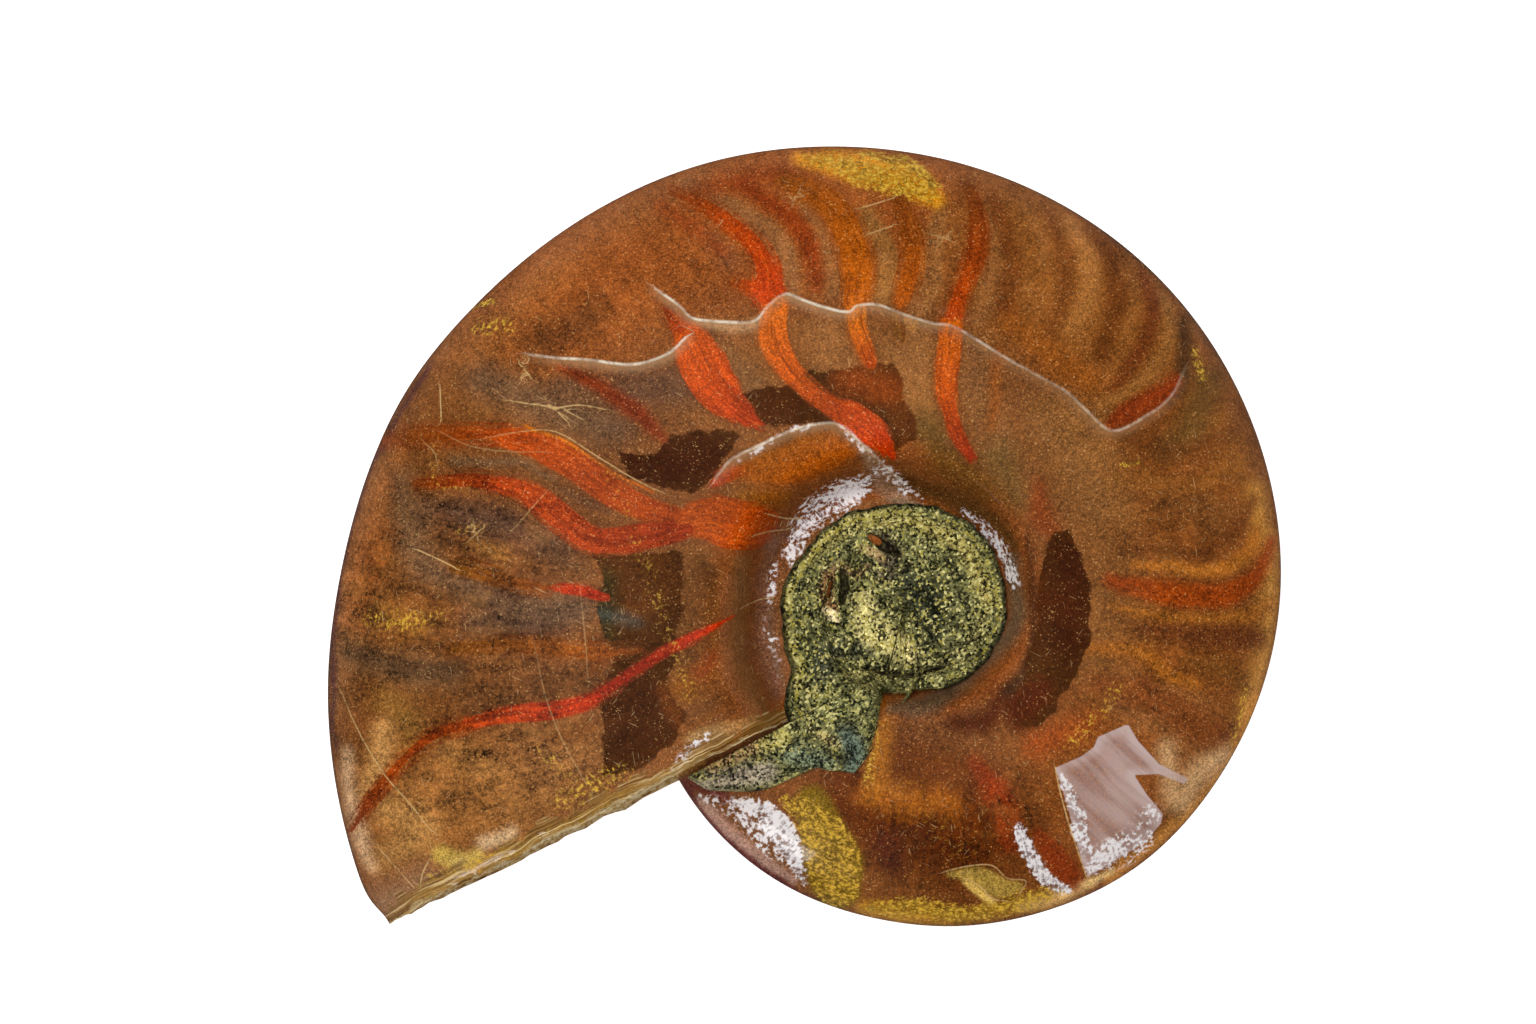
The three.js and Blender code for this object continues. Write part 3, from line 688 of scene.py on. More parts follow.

# Raised steps in the polish, each with a painted glint along its edge, and the painted glint of the
# edge over the navel: points, strength.
LEDGES = (
    [(655, 288, 0.4), (669, 298, 1), (682, 308, 0.8), (694, 319, 1), (725, 322, 1), (754, 321, 0.9),
     (768, 306, 0.5), (786, 294, 1), (809, 302, 1), (846, 312, 0.9), (858, 306, 0.8),
     (878, 305, 0.9), (905, 315, 0.7), (932, 323, 0.8), (952, 326, 0.5), (979, 341, 0.5),
     (1006, 358, 0.4),
     (1062, 389, 0.4), (1088, 412, 0.5), (1113, 431, 0.5), (1150, 414, 0.4), (1172, 394, 0.3),
     (1186, 366, 0.1)],
    [(527, 354, 0.2), (560, 358, 0.8), (589, 360, 1), (627, 365, 1), (650, 361, 1), (671, 352, 1),
     (686, 338, 0.8)],
    [(716, 478, 0.3), (728, 462, 0.6), (746, 451, 0.7), (772, 439, 0.7), (799, 428, 0.8),
     (828, 423, 0.8), (842, 427, 0.7), (862, 444, 0.6), (882, 463, 0.5), (902, 482, 0.2)],
)
SCRATCHES = (
    [(440, 388, 0.9), (441, 419, 0.9)],
    [(505, 400, 0.5), (530, 404, 1), (560, 408, 1), (584, 420, 0.4)],
    [(418, 550, 1), (436, 558, 1), (456, 568, 1)],
    [(340, 690, 0.3), (362, 738, 0.7), (386, 776, 0.8), (412, 806, 0.8), (432, 832, 0.6)],
    [(534, 640, 0.1), (544, 690, 0.3), (562, 740, 0.4), (588, 786, 0.3)],
    [(379, 848, 0.5), (414, 888, 0.6)],
    [(428, 862, 1), (422, 874, 1), (420, 890, 1)],
    [(580, 586, 0.2), (585, 640, 0.4), (588, 676, 0.2)],
    [(768, 514, 0.8), (784, 518, 0.9), (802, 519, 0.8)],
    [(754, 535, 0.6), (772, 531, 0.8), (788, 529, 0.7)],
    [(478, 440, 0.2), (520, 432, 0.5), (556, 432, 0.7), (600, 458, 0.8), (640, 482, 0.7),
      (666, 494, 0.4)],
    [(1055, 768, 0.8), (1062, 800, 1), (1076, 846, 1), (1086, 876, 1)],
    [(741, 608, 0.5), (758, 600, 0.7), (774, 598, 0.6)],
    [(943, 872, 0.3), (967, 866, 0.7), (992, 865, 0.7), (1007, 878, 0.5), (1026, 881, 0.6),
      (1020, 893, 0.5)],
    [(966, 878, 0.5), (982, 887, 0.8), (991, 898, 0.9), (1007, 901, 0.4)],
    [(440, 432, 0.2), (470, 446, 0.3), (510, 452, 0.3), (548, 452, 0.2)],
    [(870, 233, 0.5), (892, 226, 0.7)],
    [(788, 196, 0.3), (796, 198, 0.6), (805, 196, 0.3)],
    [(792, 204, 0.4), (800, 190, 0.5)],
    [(932, 234, 0.3), (944, 238, 0.5), (954, 243, 0.3)],
    [(938, 246, 0.3), (950, 232, 0.5)],
    [(468, 527, 0.6), (476, 534, 0.8)],
    [(470, 539, 0.5), (482, 528, 0.7)],
    [(474, 524, 0.4), (478, 540, 0.5)],
    [(519, 363, 0.8), (530, 376, 0.9)],
    [(528, 361, 0.7), (521, 378, 0.7)],
    [(532, 402, 0.9), (552, 408, 1), (580, 405, 0.9), (606, 410, 0.6)],
    [(545, 400, 0.6), (562, 416, 0.9), (570, 424, 0.5)],
    [(424, 442, 0.2), (434, 452, 0.5), (438, 466, 0.2)],
    [(860, 208, 0.5), (878, 203, 0.8), (893, 198, 0.6)],
    [(512, 530, 0.2), (530, 510, 0.4), (548, 490, 0.2)],
)


def washed(pixels, start, washes):
    paint = np.tile(colour(start), (len(pixels), 1))
    for code, strength, softness, points in washes:
        chosen, gap, *_ = near_stroke(pixels, points, softness)
        share = strength * smooth(0.5 - gap / (2 * softness))
        paint[chosen] += share[:, None] * (colour(code) - paint[chosen])
    return paint


def soft_field(pixels, strokes):
    field = np.zeros(len(pixels))
    for strength, softness, points in strokes:
        chosen, gap, *_ = near_stroke(pixels, points, softness)
        here = strength * smooth(0.5 - gap / (2 * softness))
        field[chosen] = np.maximum(field[chosen], here)
    return field


def flame_fields(pixels, reach=8):
    """How far inside a flame a place is, its colour, and the run of its strands."""
    nearest = np.full(len(pixels), float(reach))
    paint = np.tile(colour(FLAMES[0][0]), (len(pixels), 1))
    flow = np.zeros((len(pixels), 3))
    for index, (first, last, softness, points) in enumerate(FLAMES):
        chosen, gap, along, aside, _, length = near_stroke(pixels, points, reach * softness)
        gap = gap / softness
        closer = gap < nearest[chosen]
        spot = chosen[closer]
        nearest[spot] = gap[closer]
        share = (along[closer] / length)[:, None]
        paint[spot] = colour(first) + share * (colour(last) - colour(first))
        flow[spot] = np.stack([along / 90, aside / 3.6, 7.3 * index + 0 * gap], -1)[closer]
    return nearest, paint, flow


def shapes_distance(pixels, shapes):
    return np.min([shape_distance(pixels, corners) for corners in shapes], 0)


# Meshes.
def grid_faces(rows, columns, flip, start=0):
    """Quads of a grid whose vertices run along its rows."""
    i, j = np.meshgrid(np.arange(rows - 1), np.arange(columns - 1), indexing="ij")
    a = start + i * columns + j
    quads = np.stack([a, a + 1, a + columns + 1, a + columns], -1).reshape(-1, 4)
    return quads[:, ::-1] if flip else quads


def mesh_object(name, points, faces, fields, material):
    mesh = bpy.data.meshes.new(name)
    mesh.from_pydata(points.tolist(), [], faces)
    for field, values in fields.items():
        if values.ndim == 1:
            layer = mesh.attributes.new(field, "FLOAT", "POINT")
            layer.data.foreach_set("value", values.astype(np.float32))
        elif field.endswith("paint"):
            layer = mesh.attributes.new(field, "FLOAT_COLOR", "POINT")
            rgba = np.column_stack([values, np.ones(len(values))])
            layer.data.foreach_set("color", rgba.astype(np.float32).ravel())
        else:
            layer = mesh.attributes.new(field, "FLOAT_VECTOR", "POINT")
            layer.data.foreach_set("vector", values.astype(np.float32).ravel())
    obj = bpy.data.objects.new(name, mesh)
    bpy.context.scene.collection.objects.link(obj)
    mesh.materials.append(material)
    return obj


def joined_and_smooth(obj, reach=0.004 * MM):
    """Merges the corners that meet, and shades the surface smoothly."""
    mesh = bmesh.new()
    mesh.from_mesh(obj.data)
    bmesh.ops.remove_doubles(mesh, verts=mesh.verts, dist=reach)
    bmesh.ops.dissolve_degenerate(mesh, dist=reach, edges=mesh.edges)
    for face in mesh.faces:
        face.smooth = True
    mesh.to_mesh(obj.data)
    mesh.free()


def lip_chips(r, side):
    """How far the broken edge is chipped back at a distance from the axis."""
    large = np.abs(value_noise(r / LARGE_CHIP, 0 * r, 4 + side))
    small = np.abs(value_noise(r / SMALL_CHIP, 0 * r, 9 + side))
    return LIP_CHIP * (0.75 * large + 0.35 * small)


def shell_grid():
    """Arrays over rows and columns: distance out, turn, height and share."""
    seam_shares = SEAM + (SEAM * WHORL_RATIO - SEAM) * np.linspace(0, 1, WALL_SHARES)
    t = np.linspace(0, 1, FLANK_SHARES + 1)[1:]
    outward = 0.55 * t + 0.45 * np.sin(t * math.pi / 2)
    flank_shares = SEAM * WHORL_RATIO + (1 - SEAM * WHORL_RATIO) * outward
    outer = np.concatenate([seam_shares, flank_shares])
    inner = seam_shares[:-1:2]
    even = np.linspace(0, 1 - FINE_PART, ROWS)
    fine = 1 - FINE_PART * (1 - np.linspace(0, 1, FINE_ROWS + 1)[1:]) ** 1.4
    row_turn = (LAST_TURN - TURN * (1 - np.concatenate([even, fine])))[:, None]
    core = np.full_like(row_turn, CORE_RADIUS)
    inner_r = column_radius(inner[None, :], row_turn, 1)
    outer_r = column_radius(outer[None, :], row_turn, 0)
    r = np.hstack([core, inner_r, outer_r])
    turn = row_turn + lean(r)
    height, share = surface(r, turn)
    height[:, -1] = 0
    # A turn later, the inner columns and the seam lie on the first row's whorl.
    seam = 1 + len(inner)
    for grid in (r, height, share):
        grid[-1, 1 : seam + 1] = grid[0, seam : seam + WALL_SHARES : 2]
    turn[-1] = LAST_TURN + lean(r[-1])
    return r, turn, height, share, seam


def under_lip_rows(r_first):
    """The inner whorl goes on for a little way behind the lip."""
    back = np.linspace(-0.09, 0, 7)[:, None]
    r = np.repeat(r_first[None, :], 7, 0)
    turn = LAST_TURN - TURN + back + lean(r)
    ventral = ventral_radius(turn)
    share = np.clip(r / ventral, 0, 1)
    return r, turn, ventral * half_breadth(share, turn), share


def lip_face(side, edge_points, edge_r):
    """The broken face between the lip's edge and the whorl inside it."""
    v = np.linspace(0, 1, LIP_FACE_STEPS)[:, None]
    inner_height, _ = surface(edge_r, LAST_TURN - TURN + lean(edge_r))
    outer_venter = ventral_radius(LAST_TURN - TURN + lean(edge_r))
    floor = np.where(edge_r < outer_venter, inner_height - 0.15 * MM, 0)
    z_edge = np.abs(edge_points[:, 2])
    z = z_edge + (np.minimum(floor, z_edge) - z_edge) * v
    along = edge_points[:, :2] @ LIP_ALONG
    depth_in = np.minimum(z_edge - z, (edge_r.max() - edge_r)[None, :])
    hollow = smooth(depth_in / LIP_WALL)
    grit = rough_noise(along / (1.4 * MM) + 0 * z, z / (1.4 * MM) + 7 * side, 12)
    back = LIP_RECESS * hollow * (1 + 0.5 * grit) * (1 - 0.3 * v)
    edge_forward = edge_points[:, :2] @ LIP_FORWARD
    forward = edge_forward * (1 - hollow) + (LIP_OFFSET - 0.5 * LIP_CHIP) * hollow - back
    xy = along[None, :, None] * LIP_ALONG + forward[..., None] * LIP_FORWARD
    return np.dstack([xy, side * z])


class Sheets:
    """Collects the corners, faces and fields of a mesh that is made of sheets."""

    def __init__(self):
        self.points = []
        self.faces = []
        self.fields = {"share": [], "turn": [], "rim": []}
        self.count = 0

    def add(self, points, share, turn, rim):
        """Adds corners, and returns the number of the first one."""
        first = self.count
        points = np.reshape(points, (-1, 3))
        self.points.append(points)
        for name, values in (("share", share), ("turn", turn), ("rim", rim)):
            self.fields[name].append(np.broadcast_to(values, len(points)))
        self.count += len(points)
        return first

    def add_grid(self, points, share, turn, rim, flip):
        rows, columns = points.shape[:2]
        first = self.add(points, np.ravel(share), np.ravel(turn), np.ravel(rim))
        self.faces += grid_faces(rows, columns, flip, first).tolist()
        return first


def build_shell():
    r, turn, height, share, seam = shell_grid()
    angle = LIP_ANGLE + turn
    flat = np.stack([r * np.cos(angle), r * np.sin(angle)], -1)
    behind = LIP_OFFSET - flat @ LIP_FORWARD
    near_lip = (np.arange(len(r)) > len(r) - LIP_ROWS)[:, None]
    on_whorl = smooth((r - r[-1, seam]) / (2 * MM)) * near_lip
    lip_distance = np.minimum(behind / MM, FAR_FROM_LIP)
    rim = np.where(near_lip & (on_whorl > 0), lip_distance, FAR_FROM_LIP)
    ramp = smooth(1 - behind / CHIP_REACH) * on_whorl
    edge = np.clip(1 - behind / LIP_BEVEL, 0, 1) * on_whorl
    sheets = Sheets()
    for side in (1, -1):
        venter = np.arange(r.shape[1]) == r.shape[1] - 1
        chips = lip_chips(r, np.where(venter, 1, 0.5 + 0.5 * side))
        moved = flat - (chips * ramp)[..., None] * LIP_FORWARD
        grit = rough_noise(r / (0.7 * MM), behind / (0.7 * MM) + 5 * side, 31)
        lowered = height * (1 - 0.05 * edge**1.5 * (1 + 0.8 * grit))
        whole = np.dstack([moved, side * lowered])
        if side > 0:
            columns = np.arange(r.shape[1])
            rows = np.arange(r.shape[0])
        else:
            coarse = np.arange(0, r.shape[1], UNDER_SHARE_STEP)
            columns = np.unique(np.append(coarse, venter.argmax()))
            rows = np.arange(0, r.shape[0], UNDER_ROW_STEP)
        part = np.ix_(rows, columns)
        first = sheets.add_grid(whole[part], share[part], turn[part], rim[part], side < 0)
        width = len(columns)
        ring = first + np.arange(len(rows)) * width
        if side > 0:
            outer_edge = ring + width - 1
        else:
            # The finer upper sheet's edge has corners between those of the lower one.
            for i in range(len(ring) - 1):
                fine = outer_edge[i * UNDER_ROW_STEP : (i + 1) * UNDER_ROW_STEP + 1]
                sheets.faces.append(fine[::-1].tolist())
        # The middle of the umbilicus.
        middle = sheets.add([0, 0, side * CORE_DEPTH], 0.3, 0, FAR_FROM_LIP)
        for a, b in zip(ring[:-1].tolist(), ring[1:].tolist()):
            sheets.faces.append([middle, a, b] if side > 0 else [middle, b, a])
        # The whorl inside, just behind the lip.
        ur, uturn, uheight, ushare = under_lip_rows(r[0, seam + WALL_SHARES - 1 :])
        angle = LIP_ANGLE + uturn
        under = np.stack([ur * np.cos(angle), ur * np.sin(angle), side * uheight], -1)
        sheets.add_grid(under, ushare, uturn, FAR_FROM_LIP + 0 * ur, side < 0)
        # The broken face.
        outer = columns[columns >= seam]
        face = lip_face(side, whole[-1, outer], r[-1, outer])
        steps = len(face)
        depth = -np.linspace(0, 10, steps)[:, None] + np.zeros(len(outer))
        around = np.zeros((steps, 1))
        sheets.add_grid(face, share[-1, outer] + around, turn[-1, outer] + around, depth, side > 0)
    fields = {name: np.concatenate(values) for name, values in sheets.fields.items()}
    return np.vstack(sheets.points), sheets.faces, fields


def painted_pixels(coil):
    """The pixel that colours each point. The far side takes those of the near side."""
    return photo_pixels(placed(coil * (1, 1, 0) + np.abs(coil) * (0, 0, 1)))


def shell_fields(coil, fields):
    """Everything that is painted on the shell, as fields over its corners."""
    pixels = painted_pixels(coil)
    wander = np.stack(
        [rough_noise(pixels[:, 0] / 26, pixels[:, 1] / 26, seed) for seed in (3, 8)], -1
    )
    brushed = pixels + 3.5 * wander
    washes = [wash[1:] for wash in WASHES] + list(BANDS)
    paint = washed(brushed, "84552d", washes)
    flame, flame_paint, flow = flame_fields(pixels + 1.6 * wander)
    # How far inside a painted dark reflection each place is.
    dark_reflection_edge = shapes_distance(pixels + 1.2 * wander, DARK_REFLECTIONS)
    ledge, ledge_shows = line_fields(pixels + 0.8 * wander, LEDGES)
    scratch, scratch_shows = line_fields(pixels + 0.6 * wander, SCRATCHES)
    sickle = fields["turn"] + 0.5 * (fields["share"] - 0.55) ** 2
    grain = np.stack([sickle * 38, fields["share"] * 9, 3 * np.sign(coil[:, 2])], -1)
    return {
        "paint": paint,
        "blaze": flame,
        "blaze_paint": flame_paint,
        "flow": flow,
        # The painted dark reflections, and their colours.
        "dark_reflection_edge": dark_reflection_edge,
        "dark_reflection_paint": washed(brushed, "52300c", DARK_REFLECTION_COLOURS),
        # The painted sheen and the painted glare.
        "haze": soft_field(brushed, SHEEN_STROKES),
        "glare": shapes_distance(pixels, GLARES),
        "gold": soft_field(brushed, GOLDS),
        "mottle": soft_field(brushed, MOTTLES),
        "ledge": ledge,
        "ledge_shows": ledge_shows,
        "scratch": scratch,
        "scratch_shows": scratch_shows,
        "grain": grain,
        "rim": fields["rim"],
    }


# Matrix colours: colour, strength, softness, points with widths.
MATRIX_WASHES = (
    ("a3924c", 0.8, 8,
     [(800, 560, 14), (850, 524, 14), (905, 520, 14), (960, 545, 14), (990, 600, 14)]),
    # Painted shadow: the lower right of the rim is darker, where it lies in shade.
    ("746c40", 0.8, 8, [(984, 620, 10), (962, 654, 14), (900, 676, 14), (850, 672, 10)]),
    ("9c8e4e", 0.9, 6, [(786, 590, 12), (784, 640, 12), (800, 684, 10)]),
    ("2c3024", 0.9, 14, [(905, 580, 24), (925, 600, 44), (935, 630, 26)]),
    ("464a2c", 0.8, 14, [(806, 640, 22), (822, 680, 26), (832, 706, 16)]),
    ("444638", 0.8, 10, [(872, 650, 12), (830, 650, 20), (820, 672, 20)]),
    ("ecd890", 0.95, 10, [(862, 600, 14), (872, 630, 24), (896, 645, 20), (910, 655, 12)]),
    ("54483a", 0.85, 8, [(880, 536, 14), (890, 552, 22), (884, 572, 20)]),
    ("8a6f4a", 0.9, 4, [(826, 574, 8), (840, 566, 8), (856, 575, 8), (868, 566, 5)]),
    ("86623c", 1, 4, [(830, 576, 10), (826, 592, 14), (832, 608, 12)]),
    ("a08058", 1, 3, [(862, 548, 6), (872, 552, 8), (884, 560, 5)]),
    ("f0d8a8", 1, 2, [(825, 610, 6), (832, 615, 10), (837, 620, 5)]),
    ("dcb07a", 0.9, 6, [(712, 764, 14), (740, 752, 14), (764, 742, 10)]),
    # Painted shade: a dark crease along the lower right of the rim.
    ("2f2f24", 0.8, 4, [(868, 664, 4), (900, 674, 5), (940, 668, 5), (970, 640, 4)]),
    ("7f8050", 0.9, 8, [(816, 704, 14), (836, 712, 20), (856, 708, 14)]),
    ("5c6a5c", 0.9, 8, [(846, 736, 20), (856, 752, 20), (850, 772, 12)]),
    ("7c8668", 0.9, 8, [(790, 752, 20), (812, 760, 20), (830, 764, 12)]),
    ("dccb70", 0.95, 6, [(762, 744, 12), (782, 738, 14)]),
    ("b4a58e", 0.85, 8, [(700, 784, 10), (730, 778, 18), (764, 772, 22)]),
    ("bfa86a", 0.95, 3, [(816, 732, 4), (826, 737, 7), (838, 745, 4)]),
    ("1d1a14", 0.9, 3, [(806, 722, 3), (824, 744, 4), (844, 766, 4)]),
    ("3a2c26", 0.8, 5, [(746, 796, 8), (764, 792, 8)]),
)
# Pits, also painted dark as shade, places with more pale crystals, and places with fewer: strength,
# softness, points.
MATRIX_HOLES = (
    (1, 3, [(843, 573, 7), (845, 586, 9), (842, 601, 6)]),
    (1, 3, [(871, 536, 5), (884, 545, 11), (898, 553, 7)]),
    (0.7, 3, [(832, 582, 5), (829, 596, 6)]),
    (0.7, 3, [(866, 668, 4), (900, 676, 5), (940, 668, 4)]),
)
MATRIX_LIGHTS = (
    (1, 8, [(790, 600, 12), (796, 560, 12), (830, 528, 14), (880, 520, 12), (930, 522, 10)]),
    (0.8, 8, [(930, 522, 8), (975, 552, 10), (992, 600, 10), (984, 630, 6)]),
    (1, 8, [(862, 596, 16), (872, 630, 24), (900, 648, 16)]),
    (0.8, 8, [(796, 640, 16), (806, 690, 18), (830, 712, 16)]),
    (0.9, 6, [(764, 748, 12), (784, 742, 14)]),
)
MATRIX_DULLS = (
    (1, 6, [(846, 728, 18), (852, 748, 26), (850, 772, 16)]),
    (0.8, 6, [(822, 758, 12), (796, 762, 14), (760, 776, 18), (710, 788, 12)]),
)


def right_of_neck(x, y):
    """How far a place lies to the right of the matrix's neck, over bare shell."""
    neck = np.array(NECK_EDGE) * MM
    return x - np.interp(-y, -neck[:, 1], neck[:, 0])


def build_matrix(side, rows, rings, material, name):
    """The grainy filling of one umbilicus."""
    past = np.linspace(0.5, 360, rows)[:, None]
    row_turn = LAST_TURN - TURN + np.radians(past)
    spots = np.array(MATRIX_OUTLINE, float)
    edge = np.interp(past, spots[:, 0], spots[:, 1] * MM)
    edge = edge * (1 + EDGE_ROUGHNESS * rough_noise(past / 9, past * 0, 77))
    ring = np.linspace(0.02, 1, rings)[None, :]
    r = ring * edge
    turn = row_turn + lean(r)
    angle = LIP_ANGLE + turn
    x = r * np.cos(angle)
    y = r * np.sin(angle)
    floor, _ = surface(np.maximum(r, CORE_RADIUS), turn)
    tail = TAIL_HEIGHT * np.clip(1 - past / TAIL_TURN, 0, 1)
    dish = MATRIX_CENTRE + MATRIX_RISE * np.minimum(r, BOWL_RADIUS) ** 2
    lumps = LUMP_HEIGHT * rough_noise(x / LUMP_SIZE, y / LUMP_SIZE, 40 + side)
    for cx, cy, radius, rise in NODULES:
        away = np.hypot(x / MM - cx, y / MM - side * cy) / radius
        lumps = lumps + rise * MM * np.exp(-away * away)
    # A faint groove runs round inside the rim.
    groove = np.exp(-(((ring - GROOVE_PLACE) / GROOVE_WIDTH) ** 2)) * (past > 60)
    pile = floor + LAP_HEIGHT + tail * (1 - ring**3)
    top = np.maximum(dish + lumps, pile) - GROOVE_DEPTH * groove
    grains = rough_noise(x / GRAIN_SIZE, y / GRAIN_SIZE, 60 + side, 2)
    fade = smooth((1 - ring) / 0.05)
    top = top + GRAIN_HEIGHT * grains * (0.3 + 0.7 * fade)
    flat = np.stack([x, y, side * top], -1).reshape(-1, 3)
    hole = soft_field(painted_pixels(flat), MATRIX_HOLES)
    top = top - HOLE_DEPTH * hole.reshape(top.shape)
    # The edge tucks in under the shell, and so does the bare corner by the neck.
    bare = smooth(right_of_neck(x, y) / (0.3 * MM)) * (r > BARE_RADIUS) * (past < BARE_TURN)
    inside = top * (1 - bare) + (floor - LAP_HEIGHT) * bare
    top = np.where(ring == 1, floor - TUCK_DEPTH, inside)
    coil = np.stack([x, y, side * top], -1).reshape(-1, 3)
    coil = np.vstack([coil, [[0, 0, side * MATRIX_CENTRE]]])
    pixels = painted_pixels(coil)
    rings_seen = np.where(past > 55, ring, 0.5 + 0 * ring).ravel()
    fields = {
        "paint": washed(pixels, "6e6c42", MATRIX_WASHES),
        "bright": soft_field(pixels, MATRIX_LIGHTS) - soft_field(pixels, MATRIX_DULLS),
        "hole": np.append(hole, 0),
        "ring": np.append(rings_seen, 0),
    }
    centre = len(coil) - 1
    faces = grid_faces(rows, rings, side < 0).tolist()
    first = (np.arange(rows) * rings).tolist()
    for a, b in zip(first[:-1], first[1:]):
        faces.append([centre, a, b] if side > 0 else [centre, b, a])
    obj = mesh_object(name, placed(coil), faces, fields, material)
    joined_and_smooth(obj)
    return obj


# Materials.
class Nodes:
    """Short ways to add and join shader nodes."""

    def __init__(self, name):
        self.material = bpy.data.materials.new(name)
        self.material.use_nodes = True
        self.tree = self.material.node_tree
        self.shader = self.tree.nodes["Principled BSDF"]

    def add(self, kind, inputs=None, **settings):
        node = self.tree.nodes.new(kind)
        for key, value in settings.items():
            setattr(node, key, value)
        for key, value in (inputs or {}).items():
            self.join(value, node.inputs[key])
        return node

    def join(self, value, socket):
        if isinstance(value, bpy.types.NodeSocket):
            self.tree.links.new(value, socket)
        else:
            socket.default_value = value

    def field(self, name, output="Fac"):
        return self.add("ShaderNodeAttribute", attribute_name=name).outputs[output]

    def math(self, operation, *values):
        node = self.add("ShaderNodeMath", operation=operation)
        for index, value in enumerate(values):
            self.join(value, node.inputs[index])
        return node.outputs[0]

    def chain(self, operation, values):
        result = values[0]
        for value in values[1:]:
            result = self.math(operation, result, value)
        return result

    def total(self, *values):
        return self.chain("ADD", values)

    def product(self, *values):
        return self.chain("MULTIPLY", values)

    def grey(self, value):
        return self.add("ShaderNodeCombineColor", {0: value, 1: value, 2: value}).outputs[0]

    def ramp(self, value, low, high, to_low=0.0, to_high=1.0):
        """Maps low..high to to_low..to_high, smoothly and clamped."""
        inputs = {0: value, 1: low, 2: high, 3: to_low, 4: to_high}
        node = self.add("ShaderNodeMapRange", inputs, interpolation_type="SMOOTHSTEP")
        return node.outputs[0]

    def sway(self, value, spread, amount):
        """Noise around 0.5, as a swing from -amount to amount."""
        return self.ramp(value, 0.5 - spread, 0.5 + spread, -amount, amount)

    def noise(self, vector, scale, detail=3.0, roughness=0.55):
        inputs = {"Vector": vector, "Scale": scale, "Detail": detail, "Roughness": roughness}
        return self.add("ShaderNodeTexNoise", inputs).outputs[0]

    def mix(self, share, a, b, blend="MIX"):
        node = self.add("ShaderNodeMix", data_type="RGBA", blend_type=blend)
        self.join(share, node.inputs[0])
        for value, socket in ((a, node.inputs[6]), (b, node.inputs[7])):
            if isinstance(value, str):
                value = (*colour(value), 1)
            self.join(value, socket)
        return node.outputs[2]

    def turned(self, vector, angle, scale):
        turned = self.add("ShaderNodeMapping", {"Vector": vector, "Rotation": (0, 0, angle)})
        return self.scaled(turned.outputs[0], scale)

    def scaled(self, vector, factor):
        node = self.add("ShaderNodeVectorMath", operation="MULTIPLY")
        self.join(vector, node.inputs[0])
        self.join(factor, node.inputs[1])
        return node.outputs[0]


# How many bumps of noise there are to a metre.
TINY = 5600
FINE = 2300
MIDDLING = 420
BROAD = 90
SAND = 4600
SAND_PATCHES = 900
SAND_DUST = 8000


